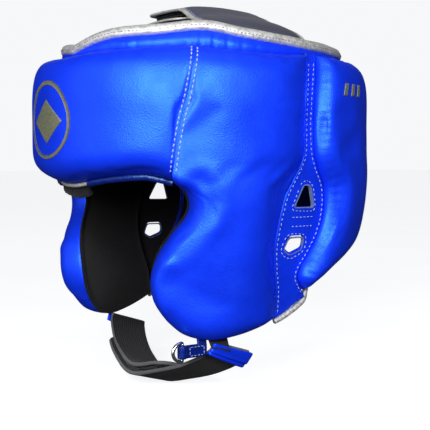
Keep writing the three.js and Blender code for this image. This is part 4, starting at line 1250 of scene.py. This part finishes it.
STRAP_POINTS = np.array([
    [62, -26.5, -89.3], [58.5, -29, -96.2], [45, -35, -104.5], [24, -42, -111.5], [0, -46, -116.5],
    [-24, -42, -111.5], [-45, -35, -104.5], [-58.5, -29, -96.2], [-62, -26.5, -89.3]])
STRAP_WIDTH, STRAP_THICKNESS, STRAP_TILT, SLEEVE_END = 25, 2.2, math.radians(16), 0.07


def centripetal(points, count):
    """A smooth line through the points that keeps close to them, evenly resampled."""
    p = np.vstack([2 * points[0] - points[1], points, 2 * points[-1] - points[-2]])
    out = []
    for i in range(1, len(p) - 2):
        steps = [np.linalg.norm(p[j + 1] - p[j]) ** 0.5 for j in (i - 1, i, i + 1)]
        m1 = ((p[i] - p[i - 1]) / steps[0] - (p[i + 1] - p[i - 1]) / (steps[0] + steps[1])
              + (p[i + 1] - p[i]) / steps[1]) * steps[1]
        m2 = ((p[i + 1] - p[i]) / steps[1] - (p[i + 2] - p[i]) / (steps[1] + steps[2])
              + (p[i + 2] - p[i + 1]) / steps[2]) * steps[1]
        t = np.linspace(0, 1, 60, endpoint=i == len(p) - 3)[:, None]
        out.append((2 * t ** 3 - 3 * t ** 2 + 1) * p[i] + (t ** 3 - 2 * t ** 2 + t) * m1
                   + (-2 * t ** 3 + 3 * t ** 2) * p[i + 1] + (t ** 3 - t ** 2) * m2)
    return resample(np.vstack(out), count)


STRAP_LINE = centripetal(STRAP_POINTS, 801)
STRAP_LENGTH = float(np.linalg.norm(np.diff(STRAP_LINE, axis=0), axis=1).sum())


def strap_frame(share):
    """Centre, sideways and outward directions of the chin strap at shares of its line."""
    centre = at(STRAP_LINE, share)
    ahead = unit(at(STRAP_LINE, np.minimum(share + 0.004, 1)) - at(STRAP_LINE, np.maximum(share - 0.004, 0)))
    across = np.array([0, math.cos(STRAP_TILT), -math.sin(STRAP_TILT)])
    side = unit(across - ahead * (ahead @ across)[..., None])
    return centre, side, unit(np.cross(ahead, side))


def strap_grid(start, end, columns, rows, width, round_end=False):
    """Shares along and offsets across a strap, with its far end rounded if asked."""
    share, v = np.meshgrid(np.linspace(start, end, columns), np.linspace(-1, 1, rows))
    half = np.full(share.shape, width / 2)
    if round_end:
        left = np.abs(share - end) * STRAP_LENGTH
        half = half * np.where(left < width * 0.42, np.sqrt(np.clip(1 - (1 - left / (width * 0.42)) ** 2, 0.03, 1)), 1)
    return share, v * half * np.sign(end - start), v


def strap_piece(name, start, end, inside, thickness, width, materials, edging=0.9, round_end=False, bulge=0.0,
                flare=None, columns=120, rows=26):
    share, offset, v = strap_grid(start, end, columns, rows, width, round_end)
    centre, side, out = strap_frame(share)
    middle = centre + side * offset[..., None]
    along_mm = np.abs(share - start) * STRAP_LENGTH
    crown = bulge * (1 - v ** 2)
    ripple = 0.10 * noise(middle, 7, 95) + 0.05 * noise(middle, 2.5, 96)
    hem = 0.0 if flare is None else flare(along_mm, np.abs(end - start) * STRAP_LENGTH)
    outer = middle + out * (inside + thickness + crown + ripple + hem)[..., None]
    inner = middle + out * (inside + crown + ripple * 0.5 - np.minimum(hem, 0))[..., None]
    points, faces, count = slab(outer, inner)
    rows_n, columns_n = share.shape
    flat_offset, grid_size = offset.reshape(-1), rows_n * columns_n
    uv = np.zeros((count, 2))
    uv[:grid_size] = uv[grid_size:2 * grid_size] = np.stack([along_mm.reshape(-1), flat_offset], axis=1)
    half_here = np.abs(offset).max(axis=0)
    near_edge = (np.abs(offset) > half_here[None] - edging).reshape(-1)
    if round_end:
        near_edge |= (np.abs(share - end) * STRAP_LENGTH < edging).reshape(-1)
    slots = []
    for face in faces:
        ids = [f % grid_size for f in face if f < 2 * grid_size]
        slots.append(1 if len(materials) > 1 and (len(ids) < 4 or all(near_edge[i] for i in ids)) else 0)
    return make(name, points, faces, materials, slots, uv=uv)


HOOK_IN = -PATCH_GAP - PATCH
LOOP_IN = HOOK_IN - PATCH_GAP - PATCH
INNER_IN = LOOP_IN - PATCH_GAP - STRAP_THICKNESS
chin_strap = strap_piece("chin_strap_webbing", 0.02, 0.86, 0, STRAP_THICKNESS, STRAP_WIDTH, [WEB, EDGING],
                         round_end=True, columns=150)
inner_strap = strap_piece("inner_chin_webbing", 0.975, 0.32, INNER_IN, STRAP_THICKNESS, STRAP_WIDTH, [WEB, EDGING],
                          round_end=True, columns=130)
stands_for(chin_strap, "black_webbing", "chin_strap", "chin_strap_root")
stands_for(inner_strap, "black_webbing", "inner_chin_strap")
for name, start, end, inside, node in (("chin_hook_tape", 0.44, 0.82, HOOK_IN, "chin_strap_hook"),
                                       ("chin_loop_tape", 0.36, 0.87, LOOP_IN, "inner_chin_strap_loop")):
    tape = strap_piece(name, start, end, inside + 0.05, PATCH * 0.85, STRAP_WIDTH - 5, [TAPE])
    stands_for(tape, "hook_and_loop", node)


def hems(along_mm, length):
    """Two raised rolls at the free end of a sleeve, and a pinched row of stitching behind them."""
    from_end = length - along_mm
    return (0.55 * np.exp(-((from_end - 0.9) / 0.7) ** 2) + 0.45 * np.exp(-((from_end - 3.0) / 0.8) ** 2)
            - 0.25 * np.exp(-((from_end - 2.0) / 0.45) ** 2))


for side, start, end, inside, cad in (
        ("left", 0.02, SLEEVE_END, STRAP_THICKNESS + PATCH_GAP, "left_strap_sleeve"),
        ("right", 0.98, 1 - SLEEVE_END, INNER_IN + STRAP_THICKNESS + PATCH_GAP, "right_strap_sleeve")):
    sleeve = strap_piece(f"{side}_strap_sleeve_leather", start, end, inside, 1.6, STRAP_WIDTH + 3, [BLUE], bulge=0.5,
                         flare=hems, columns=60)
    stands_for(sleeve, "blue_leather", cad)

# ---- ring tab and ring --------------------------------------------------------------------------------------------

RING_PIVOT = np.array([60, -60, -92.0])
RING_WIRE = 1.0


def sweep_tab():
    """A leather tab folded round the ring's straight side and sewn to itself."""
    eye = RING_WIRE + 0.4
    path = []
    for a in np.linspace(math.radians(112), math.radians(428), 30):
        path.append([(eye + 0.75) * math.cos(a), (eye + 0.75) * math.sin(a)])
    path = np.array(path)
    tail = np.array([[0.55, 3.2], [0.5, 6.5], [0.45, 11.0], [0.4, 16.0]])
    line = np.vstack([tail[::-1] * [-1, 1], path, tail])
    line = spline(line, 130)
    ahead = unit(np.gradient(line, axis=0))
    normal = np.stack([ahead[:, 1], -ahead[:, 0]], axis=1)
    rows = 18
    z = np.linspace(-3.4, 3.4, rows)
    edge = 0.15 * (1 - np.abs(np.linspace(-1, 1, rows)) ** 8)
    outer = line[None] + normal[None] * (0.36 + edge[:, None, None])
    inner = line[None] - normal[None] * np.full((rows, 1, 1), 0.36)
    lift = np.repeat(z[:, None], len(line), axis=1)
    wave = 0.08 * noise(np.stack([np.repeat(line[None, :, 0], rows, 0), np.repeat(line[None, :, 1], rows, 0), lift],
                                 axis=-1), 2.4, 97)
    grids = [np.stack([g[..., 0] + RING_PIVOT[0] + wave * k, g[..., 1] + RING_PIVOT[1], lift + RING_PIVOT[2]], axis=-1)
             for g, k in ((outer, 1), (inner, 0))]
    # The tab takes the darker copy of the blue leather: painted shade under the cheek.
    return slab_piece("ring_tab_leather", *grids, SHADED_BLUE, "blue_leather", "ring_tab")


tab = sweep_tab()
TAB_BOX = [(-55.5, -94.4), (-46, -94.4), (-46, -89.6), (-55.5, -89.6), (-55.5, -94.4)]
tab_line = np.array([[61.25, y, z] for y, z in TAB_BOX])
stitches("ring_tab_stitches", [(resample(tab_line, 60), np.tile([1.0, 0, 0], (60, 1)))], PALE_THREAD, pitch=2.3,
         length=1.5, thick=0.45)


def d_ring():
    half, bow = 5.2, 1.6
    loop = [[0, z] for z in np.linspace(-half, half, 14)]
    for a in np.radians(np.linspace(90, 270, 40))[1:-1]:
        loop.append([bow * half * math.cos(a) * 0.72, half * math.sin(a)])
    loop = resample(np.array(loop + [loop[0]]), 90)[:-1]
    for _ in range(2):
        loop = (np.roll(loop, 1, axis=0) + 2 * loop + np.roll(loop, -1, axis=0)) / 4
    path = np.stack([np.zeros(len(loop)), loop[:, 0], loop[:, 1]], axis=1) + RING_PIVOT
    return tube("chin_ring_wire", path, np.tile([1.0, 0, 0], (len(path), 1)), 2 * RING_WIRE, 2 * RING_WIRE, [CHROME],
                closed=True, sides=14)


stands_for(d_ring(), "chrome_ring", "chin_ring")

# ---- emblem and rear mark -----------------------------------------------------------------------------------------

EMBLEM_HEIGHT, EMBLEM_HALF_WIDTH, EMBLEM_HALF_HEIGHT = 36, 13.5, 21


def film(name, stations, heights, tree, nodes=(), thick=0.35, wrap=False):
    """A thin printed film laid on a pad."""
    ground, normals = lay(tree, stations, heights, 0.0)
    rough = 0.05 * noise(ground, 3, 98)
    outer, inner = ground + normals * (thick + rough)[..., None], ground - normals * 0.15
    rows, columns = outer.shape[:2]
    if not wrap:
        return slab_piece(name, outer, inner, FILM, "silver_emblem", *nodes)
    count = rows * columns
    faces = [*grid_faces(rows, columns, wrap=True), *[f[::-1] for f in grid_faces(rows, columns, count, wrap=True)]]
    for r, flip in ((0, False), (rows - 1, True)):
        for c in range(columns):
            a, b = r * columns + c, r * columns + (c + 1) % columns
            faces.append([a, count + a, count + b, b] if flip else [b, count + b, count + a, a])
    piece = make(name, np.vstack([outer.reshape(-1, 3), inner.reshape(-1, 3)]), faces, [FILM])
    return stands_for(piece, "silver_emblem", *nodes)


turn = np.linspace(0, 2 * math.pi, 96, endpoint=False)
scale = np.linspace(0.9, 1.0, 4)[:, None]
film("brow_emblem_ring", -90 + EMBLEM_HALF_WIDTH * scale * np.cos(turn),
     EMBLEM_HEIGHT + EMBLEM_HALF_HEIGHT * scale * np.sin(turn), PADS["front"], ["emblem_ring"], wrap=True)
v, u = np.meshgrid(np.linspace(-1, 1, 25), np.linspace(-1, 1, 15), indexing="ij")
film("brow_emblem_lozenge", -90 + 9.2 * u * (1 - np.abs(v)) + 0.001 * u, EMBLEM_HEIGHT + 12 * v,
     PADS["front"], ["emblem_lozenge"])
for number, shift in enumerate((0.0, 5.0, 10.0)):
    v, u = np.meshgrid(np.linspace(0, 1, 12), np.linspace(0, 1, 8), indexing="ij")
    film(f"rear_mark_bar_{number + 1}", 19.5 + shift + 2.2 * u + 1.4 * v, 51 + 6 * v, PADS["left"])

# ---- roots that hold the strap and the tab to the cheek ------------------------------------------------------------

ROOT_INSET = 2.5          # how far a root reaches into the pad above and the leather below
ROOT_HALF = 0.8           # half of a root's thickness


def edge_line(piece, ys, highest):
    """A smooth line along a piece's highest or lowest points, one point for each y."""
    skin = np.array([v.co for v in piece.data.vertices]) / MM
    found = []
    for y in ys:
        near = skin[np.abs(skin[:, 1] - y) < 1.5]
        found.append(near[near[:, 2].argmax() if highest else near[:, 2].argmin()])
    found = np.array(found)
    return np.stack([np.polyval(np.polyfit(ys, found[:, 0], 1), ys), ys,
                     np.polyval(np.polyfit(ys, found[:, 2], 2), ys)], axis=-1)


def sewn_root(name, below, low_y, high_y, material, slot):
    """A short flat root sewn into the cheek's lower edge, which holds the piece below it."""
    ys = np.linspace(low_y, high_y, 16)
    top = edge_line(side_pads[0], ys, False) + [0, 0, ROOT_INSET]
    foot = edge_line(below, ys, True) - [0, 0, ROOT_INSET]
    share = np.linspace(0, 1, 9)[:, None, None]
    grid = foot[None] * (1 - share) + top[None] * share
    slab_piece(name, grid + [ROOT_HALF, 0, 0], grid - [ROOT_HALF, 0, 0], material, slot)


sewn_root("left_strap_root_webbing", PIECES["left_strap_sleeve_leather"], -42.5, -31, WEB, "black_webbing")
# The tab's root takes the darker copy of the blue leather: painted shade under the cheek.
sewn_root("ring_tab_root_leather", tab, -49.5, -44.2, SHADED_BLUE, "blue_leather")

# ---- bodies that the pieces ride, and blends across their hinges --------------------------------------------------

RIDES = {"rear_strap_hook_tape": "rear_strap", "rear_strap_stitches": "rear_strap", "crown_hook_tape": "crown_wing",
         "chin_hook_tape": "chin_strap", "chin_ring_wire": "chin_ring"}
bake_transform(rear_strap, "shell", "rear_strap", start=tuple(on_head(REAR_HINGE - 1.5, 30, 22.0) * MM),
         end=tuple(on_head(REAR_HINGE + 3.5, 30, 22.0) * MM))
for o in (left_wing, left_wing_stitches):
    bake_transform(o, "shell", "crown_wing", start=(0.048, -0.011, 0.098), end=(0.040, -0.011, 0.098))
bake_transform(chin_strap, "shell", "chin_strap", start=tuple(at(STRAP_LINE, np.array(SLEEVE_END - 0.012)) * MM),
         end=tuple(at(STRAP_LINE, np.array(SLEEVE_END + 0.02)) * MM))


# ---- floor and light ----------------------------------------------------------------------------------------

bpy.ops.mesh.primitive_plane_add(size=40, location=(0, 0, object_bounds()[0][2]))
floor = bpy.context.object
floor.name = "floor"
paper = Nodes("pale_floor")
paper.set(Base_Color=paper.ramp(paper.noise(9, 3, 0.5), [(0.4, (0.28, 0.282, 0.286)), (0.6, (0.31, 0.312, 0.316))]),
          Roughness=0.9, Specular_IOR_Level=0.1, Emission_Color=(0.98, 0.985, 1.0, 1), Emission_Strength=0.84)
floor.data.materials.append(paper.material)
floor.visible_diffuse = floor.visible_glossy = False

world = bpy.data.worlds.new("studio")
scene.world = world
world.use_nodes = True
backdrop = world.node_tree.nodes["Background"]
backdrop.inputs["Color"].default_value = (0.98, 0.985, 1.0, 1)
path = world.node_tree.nodes.new("ShaderNodeLightPath")
level = world.node_tree.nodes.new("ShaderNodeMapRange")
level.inputs["To Min"].default_value, level.inputs["To Max"].default_value = 0.05, 0.95
world.node_tree.links.new(path.outputs["Is Camera Ray"], level.inputs["Value"])
world.node_tree.links.new(level.outputs["Result"], backdrop.inputs["Strength"])
scene.view_settings.view_transform = "Standard"


def lamp(name, kind, azimuth, elevation, distance, energy):
    """A lamp that shines on the origin from a distance in millimetres."""
    light = bpy.data.objects.new(name, bpy.data.lights.new(name, kind))
    scene.collection.objects.link(light)
    light.data.energy = energy
    look(light, distance * direction(azimuth, elevation), (0, 0, 0))
    return light.data


for name, azimuth, elevation, distance, size, power in (("key", 40, 16, 1100, 0.60, 18),
                                                        ("glint", 76, 20, 1200, 0.20, 11)):
    light = lamp(name, "AREA", azimuth, elevation, distance, power)
    light.shape, light.size = "DISK", size
for name, azimuth, elevation, strength in (("top", 90, 75, 0.4), ("back_fill", 235, 25, 0.12),
                                           ("front_fill", -12, 12, 0.65)):
    lamp(name, "SUN", azimuth, elevation, 1000, strength).angle = math.radians(45)

for name, piece in PIECES.items():
    if piece.parent is None and "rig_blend" not in piece:
        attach(piece, RIDES.get(name, "shell"))
